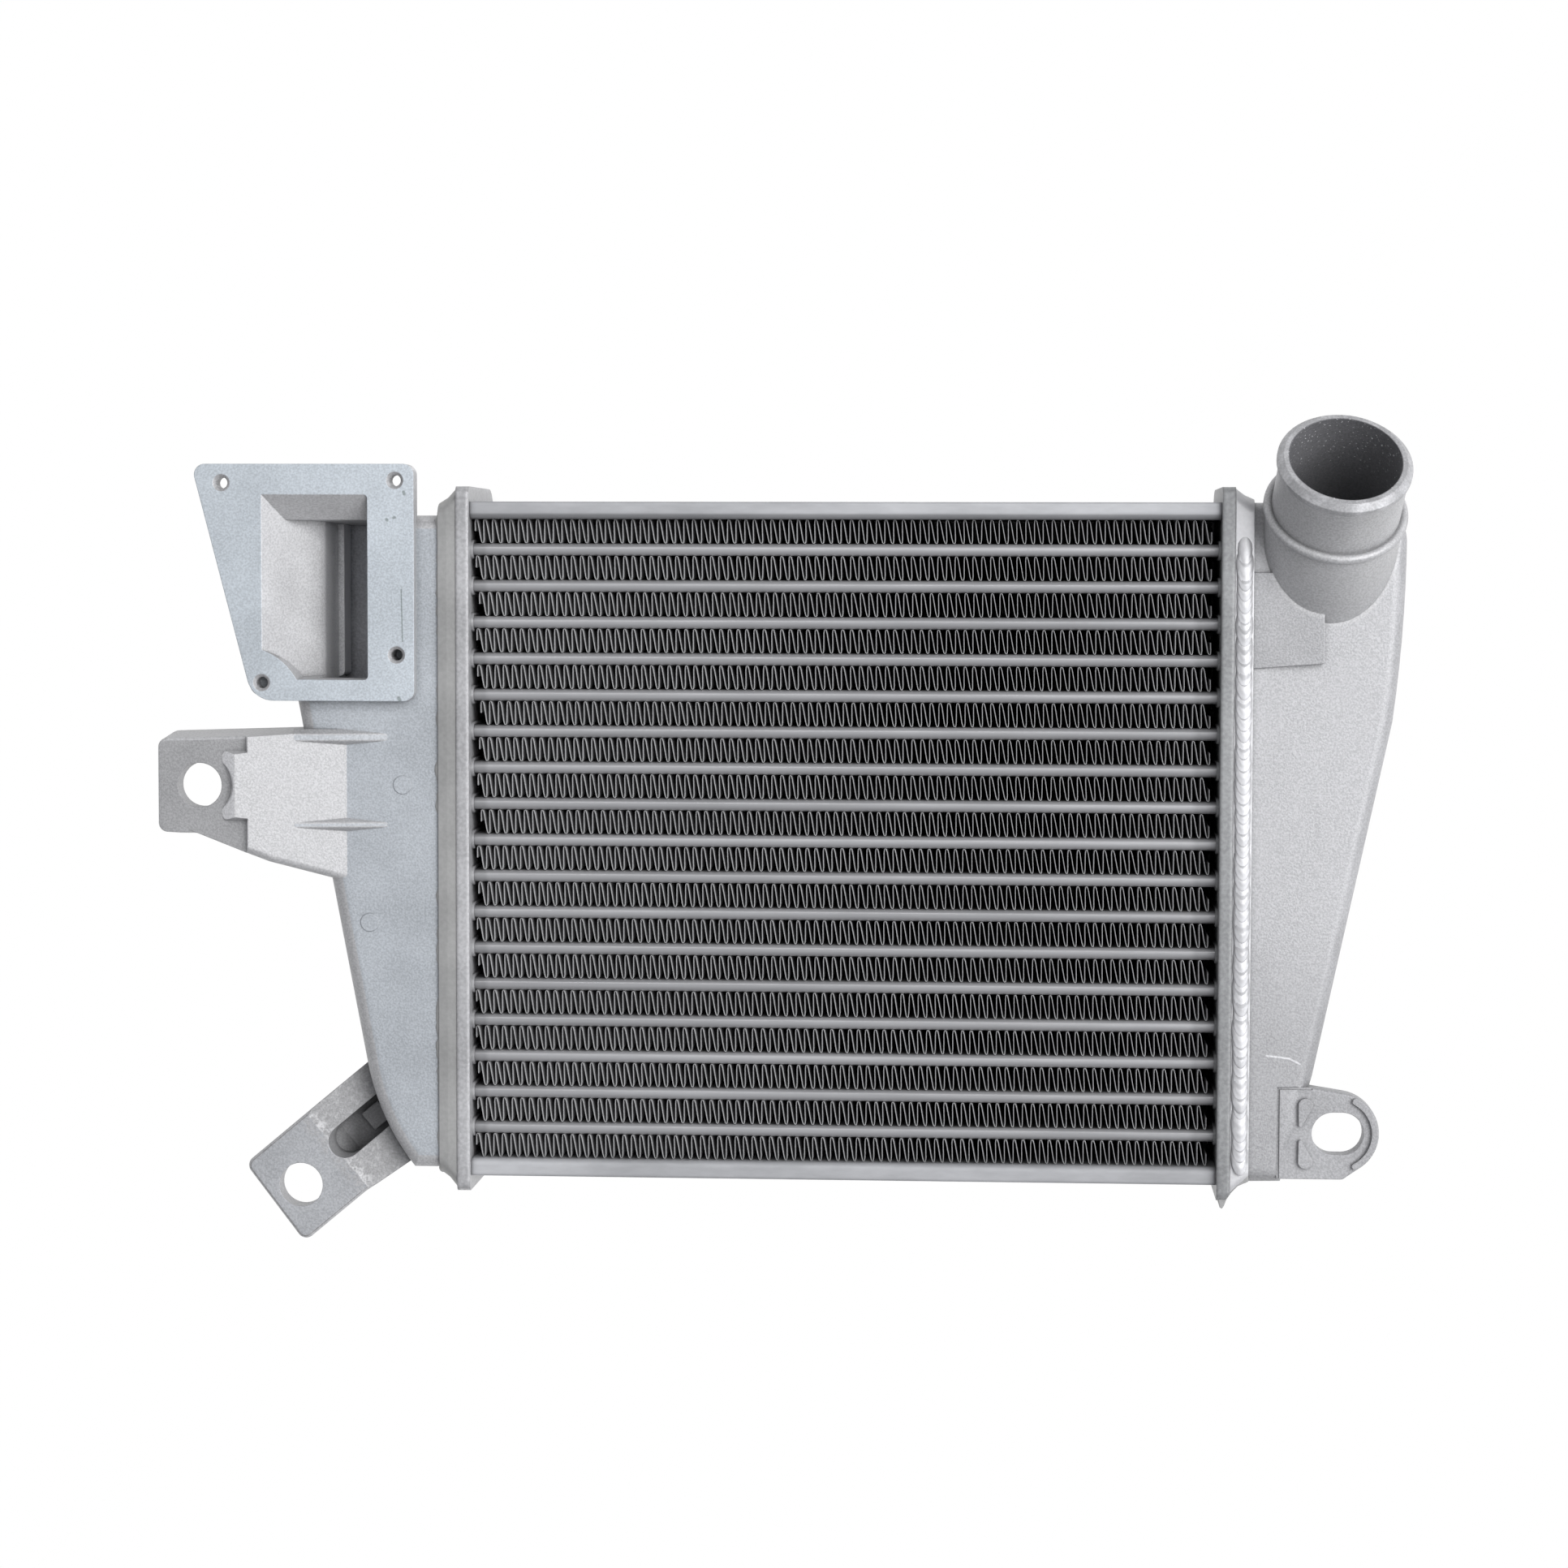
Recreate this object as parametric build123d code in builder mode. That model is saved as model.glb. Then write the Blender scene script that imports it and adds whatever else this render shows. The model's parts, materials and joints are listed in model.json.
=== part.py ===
# Air-to-air intercooler for a car engine: a brazed aluminium core of flat tubes
# and corrugated fins between two header plates, with a hollow cast tank welded
# to each header. The left tank carries the inlet flange, the right one the pipe.
#
# While it is drawn, X runs across the core, Y up the stack of tubes and Z
# through the depth. The back of both headers lies on Z = 0 and the front, with
# the flange face and the pipe mouth, looks up. X = 0, Y = 0 is the core's centre.

import os
from math import atan2, cos, radians, sin, tan

from build123d import *

os.makedirs("parts", exist_ok=True)

# Core, in millimetres
tube_count = 17
tube_pitch = 13.5
tube_thick = 4.5
tube_depth = 54.0
tube_wall = 0.8
core_width = 277.0
braze_gap = 0.1
fin_inset = 1.0
fin_waves = 30
fin_end_gap = 3.0
fin_fold = 1.0
side_plate_height = 6.35
side_plate_over = 3.0
side_plate_sheet = 1.5
side_plate_bend = 2.2

# Headers and weld seams
header_thick = 4.8
header_lip = 2.4
collar_wall = 1.1
collar_rise = 1.0
header_overhang = 5.6
header_back_corner = 12.0
header_front_corner = 3.0
bead_width = 6.9
bead_rise = 1.2
left_toe_rise = 4.5
bead_inset = 0.3

# Both tanks
tank_wall = 3.2
tube_clear = 0.4
tank_edge = 6.0
hole_clear = 1.0
cut_reach = 400.0

# Left tank
left_drop = 10.7
left_foot = 8.0
side_out = 50.7
side_lean = 0.189
side_end_up = 38.8
foot_out = 17.0

# Flange and elbow duct of the left tank
flange_rise = 6.0
flange_thick = 8.0
flange_top_out = 97.9
flange_base_out = 75.3
flange_edge_out = 14.9
flange_above = 18.8
flange_height = 87.5
flange_corner = 4.0
flange_low_corner = 10.0
window_out = 71.7
window_near = 32.2
window_above = 7.5
window_height = 68.4
window_corner = 1.5
notch_width = 12.9
notch_height = 11.0
notch_bulge = 1.6
ramp_angle = 50.0
ceiling_angle = 43.0
ceiling_height = 9.2
ramp_depth = 23.0
ledge_depth = 50.0
ledge_width = 2.3
duct_draft = 1.2
screw_core = 4.2
screw_mouth = 6.4
screw_depth = 12.0
shallow_screw_depth = 7.5
screw_boss = 10.5
upper_far_screw_out = 86.6
upper_far_screw_drop = 7.0
upper_near_screw_out = 21.9
upper_near_screw_drop = 6.1
lower_far_screw_out = 71.9
lower_far_screw_rise = 6.7
lower_near_screw_out = 21.5
lower_near_screw_rise = 17.1

# Arm of the left tank
arm_hole = 16.5
arm_hole_out = 94.7
arm_hole_up = 20.5
arm_seat = 9.0
arm_slope = 18.0
arm_crease_out = 41.3
arm_depth = 22.6
arm_draft = 5.0
arm_tip_out = 110.0
arm_tip_top = 37.4
arm_root_top = 39.6
arm_root_low = -14.6
arm_knee_out = 69.2
arm_knee_low = -7.3
arm_bend_out = 96.6
arm_tip_low = 3.4
arm_shelf_out = 77.2
arm_ridge_out = 80.9
arm_tongue_out = 86.2
arm_tongue_half = 13.1
arm_tongue_draft = 20.0
arm_tongue_corner = 2.2
arm_washer = 12.0
arm_skin = 9.0
arm_side_wall = 3.6
arm_corner = 3.0
arm_round = 1.2
arm_low_round = 2.6
rib_out = 18.6
rib_in = 15.3
rib_up = 38.2
rib_crest = 2.6
rib_low_up = 5.6
rib_low_crest = 1.8
rib_draft = 30.0
rib_root = 3.0
rib_corner = 0.8

# Ejector marks on the left tank's face
mark_size = 6.8
mark_rise = 0.3
high_mark_out = 20.4
high_mark_up = 20.5
low_mark_out = 32.9
low_mark_up = -30.9

# Lower lug of the left tank
lug_hole = 16.5
lug_hole_out = 60.9
lug_hole_up = -8.0
lug_angle = 40.0
lug_seat = -7.6
lug_thick = 9.0
lug_root = 24.0
lug_slope = 20.0
lug_crease = 19.0
lug_corner = 3.5
lug_round = 1.5
lug_end = 12.4
lug_end_slant = 0.9
lug_high = 19.5
lug_low = 17.5
lug_flare = 2.5
lug_flare_run = 17.2
lug_foot_run = 40.2
lug_bury_run = 54.0
lug_bury_rise = 16.0
pocket_width = 12.4
pocket_start = 23.4
pocket_side = 4.3
pocket_deep = 19.0
pocket_boss = 8.0
pocket_boss_rise = 5.0

# Right tank
right_drop = 5.6
right_foot = 6.3
face_slope = 6.0
right_reach = 63.3
right_corner = 14.0
bow_out = 61.6
bow_up = 72.0
bow_end_out = 58.7
bow_end_up = 45.2
knee_out = 30.5
knee_up = -85.7
right_foot_out = 19.0
pad_out = 32.7
pad_low = 66.9
pad_high = 100.0
pad_tilt = 2.4
oval_length = 19.0
oval_width = 15.7
oval_out = 39.7
oval_up = 18.6
foot_lug_thick = 8.0
foot_lug_seat = -2.6
foot_lug_near = 17.3
foot_lug_half = 17.0
foot_lug_high_out = 29.7
foot_lug_low_out = 41.9
foot_lug_round = 15.2
foot_lug_edge = 1.0
relief_rise = 1.4
relief_wide = 2.4
rim_radius = 13.6
rim_sweep = 124.0
drop_out = 27.8
drop_up = 10.5
drop_round = 2.6
drop_tip_out = 25.9
drop_tip_up = 3.0
drop_tip_round = 0.6

# Pipe of the right tank
pipe_bore = 40.6
pipe_neck = 46.6
pipe_lip = 48.8
pipe_lip_round = 2.2
pipe_lip_length = 5.8
pipe_ring = 52.6
pipe_ring_length = 3.2
pipe_body = 50.0
pipe_seat_length = 25.0
pipe_length = 62.0
pipe_reach = 67.0
pipe_out = 37.6
pipe_up = 140.7
pipe_front = 23.4
pipe_lean_up = 42.8
pipe_lean_side = 5.3

# Sizes that follow from these
fin_height = tube_pitch - tube_thick
fin_depth = tube_depth - 2 * fin_inset
side_plate_depth = tube_depth + 2 * side_plate_over
tank_depth = tube_depth + 2 * tube_clear + 2 * tank_wall
header_depth = tank_depth + 2 * header_lip
stack_half = (tube_count - 1) / 2 * tube_pitch + tube_thick / 2 + fin_height
plate_top = stack_half + side_plate_height
header_half = plate_top + header_overhang
core_mid = header_depth / 2
seam = core_width / 2 + header_thick
tank_back = core_mid - tank_depth / 2
tank_front = core_mid + tank_depth / 2
left_top = header_half - left_drop
left_base = -header_half + left_foot
right_top = header_half - right_drop
right_base = -header_half + right_foot
flange_face = tank_front + flange_rise
tube_ups = [(n - (tube_count - 1) / 2) * tube_pitch for n in reversed(range(tube_count))]
fin_ups = [up + tube_pitch / 2 for up in tube_ups] + [tube_ups[-1] - tube_pitch / 2]


def left(out, up):
    """A point of the left tank, measured outward from its seam."""
    return (-seam - out, up)


def right(out, up):
    """A point of the right tank, measured outward from its seam."""
    return (seam + out, up)


# Core: tubes, fins and side plates


def flat_tube(up):
    """One flat tube with rounded noses, brazed through both headers."""
    length = core_width + 2 * header_thick
    with BuildPart() as tube:
        with BuildSketch(Plane.YZ.offset(-length / 2)):
            with Locations((up, core_mid)):
                SlotOverall(tube_depth, tube_thick, rotation=90)
                inner_depth = tube_depth - 2 * tube_wall
                inner_thick = tube_thick - 2 * tube_wall
                SlotOverall(inner_depth, inner_thick, rotation=90, mode=Mode.SUBTRACT)
        extrude(amount=length)
    return tube


def fin_row(up):
    """One sheet folded to and fro between two tubes, its folds resting on them."""
    span = core_width - 2 * fin_end_gap
    half_wave = span / (2 * fin_waves)
    swing = (fin_height - fin_fold) / 2
    crests = [
        (-span / 2 + n * half_wave, up + swing * (1 if n % 2 else -1))
        for n in range(2 * fin_waves + 1)
    ]
    above = [(x, y + fin_fold / 2) for x, y in crests]
    below = [(x, y - fin_fold / 2) for x, y in reversed(crests)]
    with BuildPart() as fin:
        with BuildSketch(Plane.XY.offset(core_mid - fin_depth / 2)):
            with BuildLine():
                Polyline(*above, *below, close=True)
            make_face()
        extrude(amount=fin_depth)
    return fin


def side_plate(side):
    """A channel that closes the core at its top or bottom, its legs outward."""
    length = core_width - 2 * braze_gap
    middle = side * (stack_half + side_plate_height / 2)
    leg = side_plate_height - side_plate_sheet
    with BuildPart() as plate:
        with BuildSketch(Plane.YZ.offset(-length / 2)) as section:
            with Locations((middle, core_mid)):
                Rectangle(side_plate_height, side_plate_depth)
            web = section.vertices().group_by(Axis.X)[0 if side > 0 else -1]
            fillet(web, side_plate_bend)
            with Locations((middle + side * side_plate_sheet / 2, core_mid)):
                Rectangle(leg, side_plate_depth - 2 * side_plate_sheet, mode=Mode.SUBTRACT)
        extrude(amount=length)
    return plate


# Headers and the weld beads that join the tanks to them


def header_plate(side):
    """A plate with a slot for each tube, its back corners rounded the most."""
    with BuildPart() as plate:
        with BuildSketch(Plane.YZ.offset(side * core_width / 2)) as outline:
            with Locations((0, core_mid)):
                Rectangle(2 * header_half, header_depth)
            fillet(outline.vertices().group_by(Axis.Y)[0], header_back_corner)
            fillet(outline.vertices().group_by(Axis.Y)[-1], header_front_corner)
            with Locations(*[(up, core_mid) for up in tube_ups]):
                slot_depth = tube_depth + 2 * braze_gap
                slot_thick = tube_thick + 2 * braze_gap
                SlotOverall(slot_depth, slot_thick, rotation=90, mode=Mode.SUBTRACT)
        extrude(amount=side * header_thick)
        # A drawn collar round each slot, towards the fins
        with BuildSketch(Plane.YZ.offset(side * (core_width / 2 - collar_rise))):
            with Locations(*[(up, core_mid) for up in tube_ups]):
                collar_thick = slot_thick + 2 * collar_wall
                SlotOverall(slot_depth + 2 * collar_wall, collar_thick, rotation=90)
                SlotOverall(slot_depth, slot_thick, rotation=90, mode=Mode.SUBTRACT)
        extrude(amount=side * collar_rise)
    return plate


def weld_bead(side, top, base, toe_rise):
    """The fillet weld round a seam, from the header's edge down to the tank."""
    high = (top + base) / 2
    tall = top - base
    with BuildPart() as bead:
        # At the header, at the bead's belly and at its toe on the tank
        for part_way, hang, crown in ((0, 1, 1), (0.5, 0.36, 0.7), (1, 0, 0)):
            tip = header_half - bead_inset
            up_end = top + toe_rise + hang * (tip - top - toe_rise)
            low_end = base - bead_rise - hang * (tip + base - bead_rise)
            half_deep = tank_depth / 2 + bead_rise
            half_deep += crown * (header_depth / 2 - bead_inset - half_deep)
            with BuildSketch(Plane.YZ.offset(side * (seam + part_way * bead_width))):
                with Locations(((up_end + low_end) / 2, core_mid)):
                    RectangleRounded(up_end - low_end, 2 * half_deep, tank_edge)
        loft(ruled=True)
        with BuildSketch(Plane.YZ.offset(side * seam)):
            with Locations((high, core_mid)):
                RectangleRounded(tall, tank_depth, tank_edge)
        extrude(amount=side * 2 * bead_width, mode=Mode.SUBTRACT)
    return bead


# Left tank: outline and cavity, seen from the front


def side_wall(up):
    """How far the slanting side wall stands out from the seam at a height."""
    return side_out + side_lean * up


duct_drop = flange_face - ramp_depth
ramp_run = ramp_depth / tan(radians(ramp_angle))
duct_side = window_out - ramp_run
duct_top = left_top + window_above
duct_base = duct_top - window_height
duct_wall_base = duct_base - tank_wall
side_end = left_base + side_end_up


def left_outline(start):
    """The tank's front outline, from a distance out of the seam."""
    wall_line = (side_lean, -1)
    with BuildSketch() as outline:
        with BuildLine():
            Polyline(
                left(start, left_top),
                left(duct_side + tank_wall, left_top),
                left(duct_side + tank_wall, duct_wall_base),
                left(side_wall(duct_wall_base), duct_wall_base),
                left(side_wall(side_end), side_end),
            )
            TangentArc(
                left(side_wall(side_end), side_end),
                left(foot_out, left_base),
                tangent=wall_line,
            )
            Polyline(left(foot_out, left_base), left(start, left_base), left(start, left_top))
        make_face()
    return outline.sketch


with BuildPart() as left_cavity:
    with BuildSketch(Plane.XY.offset(tank_back + tank_wall)):
        add(left_outline(-tank_wall - hole_clear))
        offset(amount=-tank_wall, mode=Mode.REPLACE)
    extrude(amount=tank_depth - 2 * tank_wall)

# The elbow duct falls from the flange's window, down a ramp and a side wall, and
# turns into the tank over a narrow ledge.
with BuildPart() as duct:
    with BuildSketch(Plane.XZ.offset(-duct_base)):
        with BuildLine():
            Polyline(
                left(window_out + ramp_run / ramp_depth * hole_clear, flange_face + hole_clear),
                left(duct_side, duct_drop),
                left(duct_side, flange_face - ledge_depth),
                left(duct_side - ledge_width, flange_face - ledge_depth),
                left(duct_side - ledge_width, tank_back + tank_wall),
                left(window_near, tank_back + tank_wall),
                left(window_near, flange_face + hole_clear),
                close=True,
            )
        make_face()
    extrude(amount=-window_height)
    with BuildSketch(Plane.YZ.offset(-seam)):
        with BuildLine():
            ceiling = duct_top - ceiling_height
            ceiling_drop = ceiling_height * tan(radians(ceiling_angle))
            ceiling_step = hole_clear / tan(radians(ceiling_angle))
            Polyline(
                (duct_base, flange_face + hole_clear),
                (duct_top + ceiling_step, flange_face + hole_clear),
                (ceiling, flange_face - ceiling_drop),
                (left_top - tank_wall, tank_back + tank_wall),
                (duct_base + duct_draft, tank_back + tank_wall),
                (duct_base + duct_draft, duct_drop),
                close=True,
            )
        make_face()
    extrude(amount=-window_out - hole_clear, mode=Mode.INTERSECT)
    corner = left(duct_side, duct_drop)
    bend = duct.edges().filter_by(Axis.Y).sort_by_distance((corner[0], 0, corner[1]))[0]
    fillet(bend, tank_edge)
    near_wall = duct.faces().sort_by(Axis.X)[-1]
    fillet(near_wall.edges().filter_by(Axis.Z), window_corner)
    # The flange keeps a curved web round its lower outer screw.
    with BuildSketch(Plane.XY.offset(tank_back)):
        with BuildLine():
            foot = left(window_out - notch_width, duct_base)
            head = left(window_out, duct_base + notch_height)
            far = left(window_out + notch_width, duct_base)
            rise = notch_bulge / 2**0.5
            mid = ((foot[0] + head[0]) / 2 + rise, (foot[1] + head[1]) / 2 + rise)
            ThreePointArc(foot, mid, head)
            Polyline(head, (far[0], head[1]), (far[0], foot[1] - hole_clear))
            Polyline((far[0], foot[1] - hole_clear), (foot[0], foot[1] - hole_clear), foot)
        make_face()
    extrude(amount=flange_face, mode=Mode.SUBTRACT)

# The neck is the duct's own wall where it stands out of the tank.
with BuildPart() as neck:
    slant = tank_wall / sin(radians(ramp_angle))
    neck_face = flange_face - hole_clear
    neck_run = (neck_face - duct_drop) / tan(radians(ramp_angle))
    with BuildSketch(Plane.XZ.offset(-duct_wall_base)):
        with BuildLine():
            Polyline(
                left(duct_side + slant + neck_run, neck_face),
                left(duct_side + slant, duct_drop),
                left(window_near, duct_drop),
                left(window_near, neck_face),
                close=True,
            )
        make_face()
    extrude(amount=-flange_height)
    with BuildSketch(Plane.YZ.offset(-seam)):
        with BuildLine():
            lip = (flange_face - neck_face) / tan(radians(ceiling_angle))
            roof = tank_wall / sin(radians(ceiling_angle))
            Polyline(
                (duct_wall_base, neck_face),
                (duct_top + roof - lip, neck_face),
                (ceiling + roof, flange_face - ceiling_drop),
                (ceiling + tank_wall, duct_drop),
                (duct_wall_base, duct_drop),
                close=True,
            )
        make_face()
    extrude(amount=-flange_top_out, mode=Mode.INTERSECT)

# The arm rises from the tank's face towards its seat and ends in a bolt lug. Its
# back is hollow, with a skin and side walls.
arm_face = tank_front + arm_seat
arm_grade = tan(radians(arm_slope))
ridge_face = tank_front + (arm_ridge_out - arm_crease_out) * arm_grade
hole_at = left(arm_hole_out, arm_hole_up)


def arm_outline():
    """The arm's outline at the height of its ridge."""
    with BuildSketch() as outline:
        with BuildLine():
            Polyline(
                left(arm_tip_out, arm_tip_top),
                left(arm_crease_out, arm_root_top),
                left(arm_crease_out, arm_root_low),
                left(arm_knee_out, arm_knee_low),
                left(arm_bend_out, arm_tip_low),
                left(arm_tip_out, arm_tip_low),
                close=True,
            )
        make_face()
        fillet(outline.vertices().sort_by(Axis.X)[:2], arm_corner)
    return outline.sketch


with BuildPart() as arm:
    with BuildSketch(Plane.XY.offset(ridge_face)):
        add(arm_outline())
    extrude(amount=-(ridge_face - arm_face + arm_depth), taper=-arm_draft)
    # Sloping face, up to a ridge that falls off towards the hole
    with BuildSketch(Plane.XZ.offset(cut_reach / 2)):
        with BuildLine():
            Polyline(
                left(arm_crease_out - tank_edge, tank_front - tank_edge * arm_grade),
                left(arm_ridge_out, ridge_face),
                left(arm_tongue_out, arm_face),
                left(cut_reach, arm_face),
                left(cut_reach, ridge_face + tank_edge),
                left(arm_crease_out - tank_edge, ridge_face + tank_edge),
                close=True,
            )
        make_face()
    extrude(amount=-cut_reach, mode=Mode.SUBTRACT)
    # Seat round the hole, cut back with draft to a tongue that clears the washer
    with BuildSketch(Plane.XY.offset(arm_face)) as seat_shape:
        with Locations(left(arm_shelf_out + cut_reach / 2, arm_hole_up)):
            Rectangle(cut_reach, cut_reach)
        with Locations(left(arm_shelf_out, arm_hole_up)):
            tongue_length = arm_tongue_out - arm_shelf_out
            Rectangle(2 * tongue_length, 2 * arm_tongue_half, mode=Mode.SUBTRACT)
        with Locations(hole_at):
            Circle(arm_washer)
        ears = seat_shape.vertices().sort_by_distance((*left(arm_tongue_out, arm_hole_up), arm_face))
        fillet(ears[:4], arm_tongue_corner)
    tongue_rise = ridge_face - arm_face
    extrude(amount=tongue_rise + hole_clear, taper=-arm_tongue_draft, mode=Mode.SUBTRACT)
    # Hollow back
    with BuildSketch(Plane.XY.offset(arm_face - arm_depth)):
        add(arm_outline())
        offset(amount=-arm_side_wall, mode=Mode.REPLACE)
        with Locations(left(arm_crease_out, arm_hole_up)):
            reach = side_wall(arm_hole_up) - arm_crease_out + tank_wall
            Rectangle(2 * reach, cut_reach, mode=Mode.SUBTRACT)
    extrude(amount=arm_depth - arm_skin, mode=Mode.SUBTRACT)
    # Cast rounds along the seat's end and the sloping face's long edges
    seat = arm.faces().filter_by(Axis.Z).filter_by_position(Axis.Z, arm_face - 0.1, arm_face + 0.1)
    tip = seat[0].outer_wire().edges().filter_by_position(Axis.X, -cut_reach, hole_at[0])
    fillet(tip, arm_round)
    slope = arm.faces().filter_by(lambda face: 0.9 < face.normal_at().Z < 0.99)
    slope_edges = slope.sort_by(SortBy.AREA)[-1].edges().sort_by(Axis.Y)
    fillet(slope_edges[:2], arm_low_round)
    with Locations((hole_at[0], hole_at[1], arm_face)):
        Hole(arm_hole / 2)


def crease_rib(up, crest_width):
    """A low rib across the crease, its drafted sides running out to a point."""
    rise = rib_out * arm_grade
    length = (rib_out + rib_in) / cos(atan2(rise, rib_out + rib_in))
    near_end = left(arm_crease_out - rib_in, up)
    crest = Plane(
        origin=(near_end[0], up, tank_front),
        x_dir=(0, 1, 0),
        z_dir=(-rib_out - rib_in, 0, rise),
    )
    with BuildPart() as rib:
        # The section's second axis points down, into the casting
        with BuildSketch(crest):
            half = crest_width / 2
            foot = half + rib_root * tan(radians(rib_draft))
            with BuildLine():
                Polyline((-half, 0), (half, 0), (foot, rib_root), (-foot, rib_root), close=True)
            make_face()
        extrude(amount=length)
        crest_face = rib.faces().sort_by_distance((near_end[0], up, cut_reach))[0]
        fillet(crest_face.edges().sort_by(SortBy.LENGTH)[-2:], rib_corner)
    return rib


# The lower lug leaves the tank's foot at a slant. A web with a blind pocket falls
# away from its seat towards the tank.
lug_face = tank_front + lug_seat
lug_at = left(lug_hole_out, left_base + lug_hole_up)
lug_plane = Plane(
    origin=(lug_at[0], lug_at[1], lug_face),
    x_dir=(cos(radians(lug_angle)), sin(radians(lug_angle)), 0),
    z_dir=(0, 0, 1),
)
lug_side_plane = Plane(
    origin=lug_plane.origin,
    x_dir=lug_plane.x_dir,
    z_dir=(sin(radians(lug_angle)), -cos(radians(lug_angle)), 0),
)

with BuildPart() as lower_lug:
    with BuildSketch(lug_plane) as lug_shape:
        with BuildLine():
            Polyline(
                (lug_end_slant - lug_end, lug_high),
                (-lug_end_slant - lug_end, -lug_low),
                (lug_flare_run, -lug_low),
                (lug_foot_run, -lug_low - lug_flare),
                (lug_bury_run, lug_bury_rise),
                (lug_bury_run, lug_high),
                close=True,
            )
        make_face()
        fillet(lug_shape.vertices().sort_by(Axis.X)[:2], lug_corner)
    extrude(amount=-lug_root)
    # Web above, and the thinner lug below
    with BuildSketch(lug_side_plane.offset(-cut_reach / 2)):
        with BuildLine():
            Polyline(
                (lug_crease, 0),
                (lug_crease + cut_reach, -cut_reach * tan(radians(lug_slope))),
                (lug_crease + cut_reach, hole_clear),
                (lug_crease, hole_clear),
                close=True,
            )
        make_face()
        with BuildLine():
            drop = lug_root - lug_thick
            Polyline(
                (-cut_reach, -lug_thick),
                (lug_crease - drop / 2, -lug_thick),
                (lug_crease + drop / 2, -lug_root - hole_clear),
                (-cut_reach, -lug_root - hole_clear),
                close=True,
            )
        make_face()
    extrude(amount=cut_reach, mode=Mode.SUBTRACT)
    lug_top = lower_lug.faces().filter_by(Axis.Z).sort_by(Axis.Z)[-1]
    web = lower_lug.faces().filter_by(lambda face: 0.9 < face.normal_at().Z < 0.99)
    web_edges = web.sort_by(SortBy.AREA)[-1].edges()
    crease = [edge for edge in web_edges if edge in lug_top.edges()]
    fillet([edge for edge in lug_top.edges() if edge not in crease], lug_round)
    with BuildSketch(lug_plane.offset(-pocket_deep)):
        with Locations((pocket_start + lug_root, -pocket_side + pocket_width / 2)):
            SlotCenterToCenter(2 * lug_root, pocket_width)
    extrude(amount=pocket_deep, mode=Mode.SUBTRACT)
    with BuildSketch(lug_plane.offset(-pocket_deep)):
        with Locations((pocket_start + pocket_width, -pocket_side + pocket_width / 2)):
            Rectangle(pocket_boss, pocket_boss)
    extrude(amount=pocket_boss_rise)
    with Locations(lug_plane):
        Hole(lug_hole / 2)

with BuildPart() as left_tank:
    with BuildSketch(Plane.XY.offset(tank_back)):
        add(left_outline(0))
    extrude(amount=tank_depth)
    front_rim = left_tank.faces().sort_by(Axis.Z)[-1].edges().sort_by(Axis.X)[:-1]
    back_rim = left_tank.faces().sort_by(Axis.Z)[0].edges().sort_by(Axis.X)[:-1]
    fillet(front_rim + back_rim, tank_edge)
    add(arm.part)
    add(lower_lug.part)
    add(neck.part)
    # Flange plate
    flange_top = left_top + flange_above
    flange_base = flange_top - flange_height
    with BuildSketch(Plane.XY.offset(flange_face - flange_thick)) as plate_shape:
        with BuildLine():
            Polyline(
                left(flange_top_out, flange_top),
                left(flange_edge_out, flange_top),
                left(flange_edge_out, flange_base),
                left(flange_base_out, flange_base),
                close=True,
            )
        make_face()
        low_corner = plate_shape.vertices().group_by(Axis.Y)[0].sort_by(Axis.X)[0]
        fillet(low_corner, flange_low_corner)
        corners = plate_shape.vertices().group_by(Axis.Y)
        fillet(corners[-1] + corners[0].sort_by(Axis.X)[-1:], flange_corner)
    extrude(amount=flange_thick)
    screws = [
        left(upper_far_screw_out, flange_top - upper_far_screw_drop),
        left(upper_near_screw_out, flange_top - upper_near_screw_drop),
        left(lower_far_screw_out, flange_base + lower_far_screw_rise),
        left(lower_near_screw_out, flange_base + lower_near_screw_rise),
    ]
    # The two lower screws have bosses behind the plate
    with BuildSketch(Plane.XY.offset(flange_face - screw_depth - tank_wall)):
        with Locations(screws[2]):
            Circle(screw_boss / 2)
    extrude(amount=screw_depth)
    add(left_cavity.part, mode=Mode.SUBTRACT)
    with BuildSketch(Plane.XY.offset(flange_face - screw_depth - tank_wall)):
        with Locations(screws[3]):
            Circle(screw_boss / 2)
    extrude(amount=screw_depth)
    add(duct.part, mode=Mode.SUBTRACT)
    # Narrow ledge at the foot of the duct's side wall
    with BuildSketch(Plane.XY.offset(tank_back)) as ledge:
        with Locations(left(duct_side, (duct_base + ceiling) / 2)):
            Rectangle(2 * ledge_width, ceiling - duct_base)
        fillet(ledge.vertices().group_by(Axis.X)[-1].sort_by(Axis.Y)[0], 0.9 * ledge_width)
    extrude(amount=flange_face - ledge_depth - tank_back)
    # Ejector marks
    with BuildSketch(Plane.XY.offset(tank_front)):
        with Locations(left(high_mark_out, high_mark_up), left(low_mark_out, low_mark_up)):
            Circle(mark_size / 2)
    extrude(amount=mark_rise)
    # The lower outer screw hole is shallower than the others
    for place in screws:
        depth = shallow_screw_depth if place == screws[2] else screw_depth
        with Locations((place[0], place[1], flange_face)):
            CounterSinkHole(screw_core / 2, screw_mouth / 2, depth)
    for up, crest_width in ((rib_up, rib_crest), (rib_low_up, rib_low_crest)):
        add(crease_rib(up, crest_width).part)

# Right tank


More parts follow.
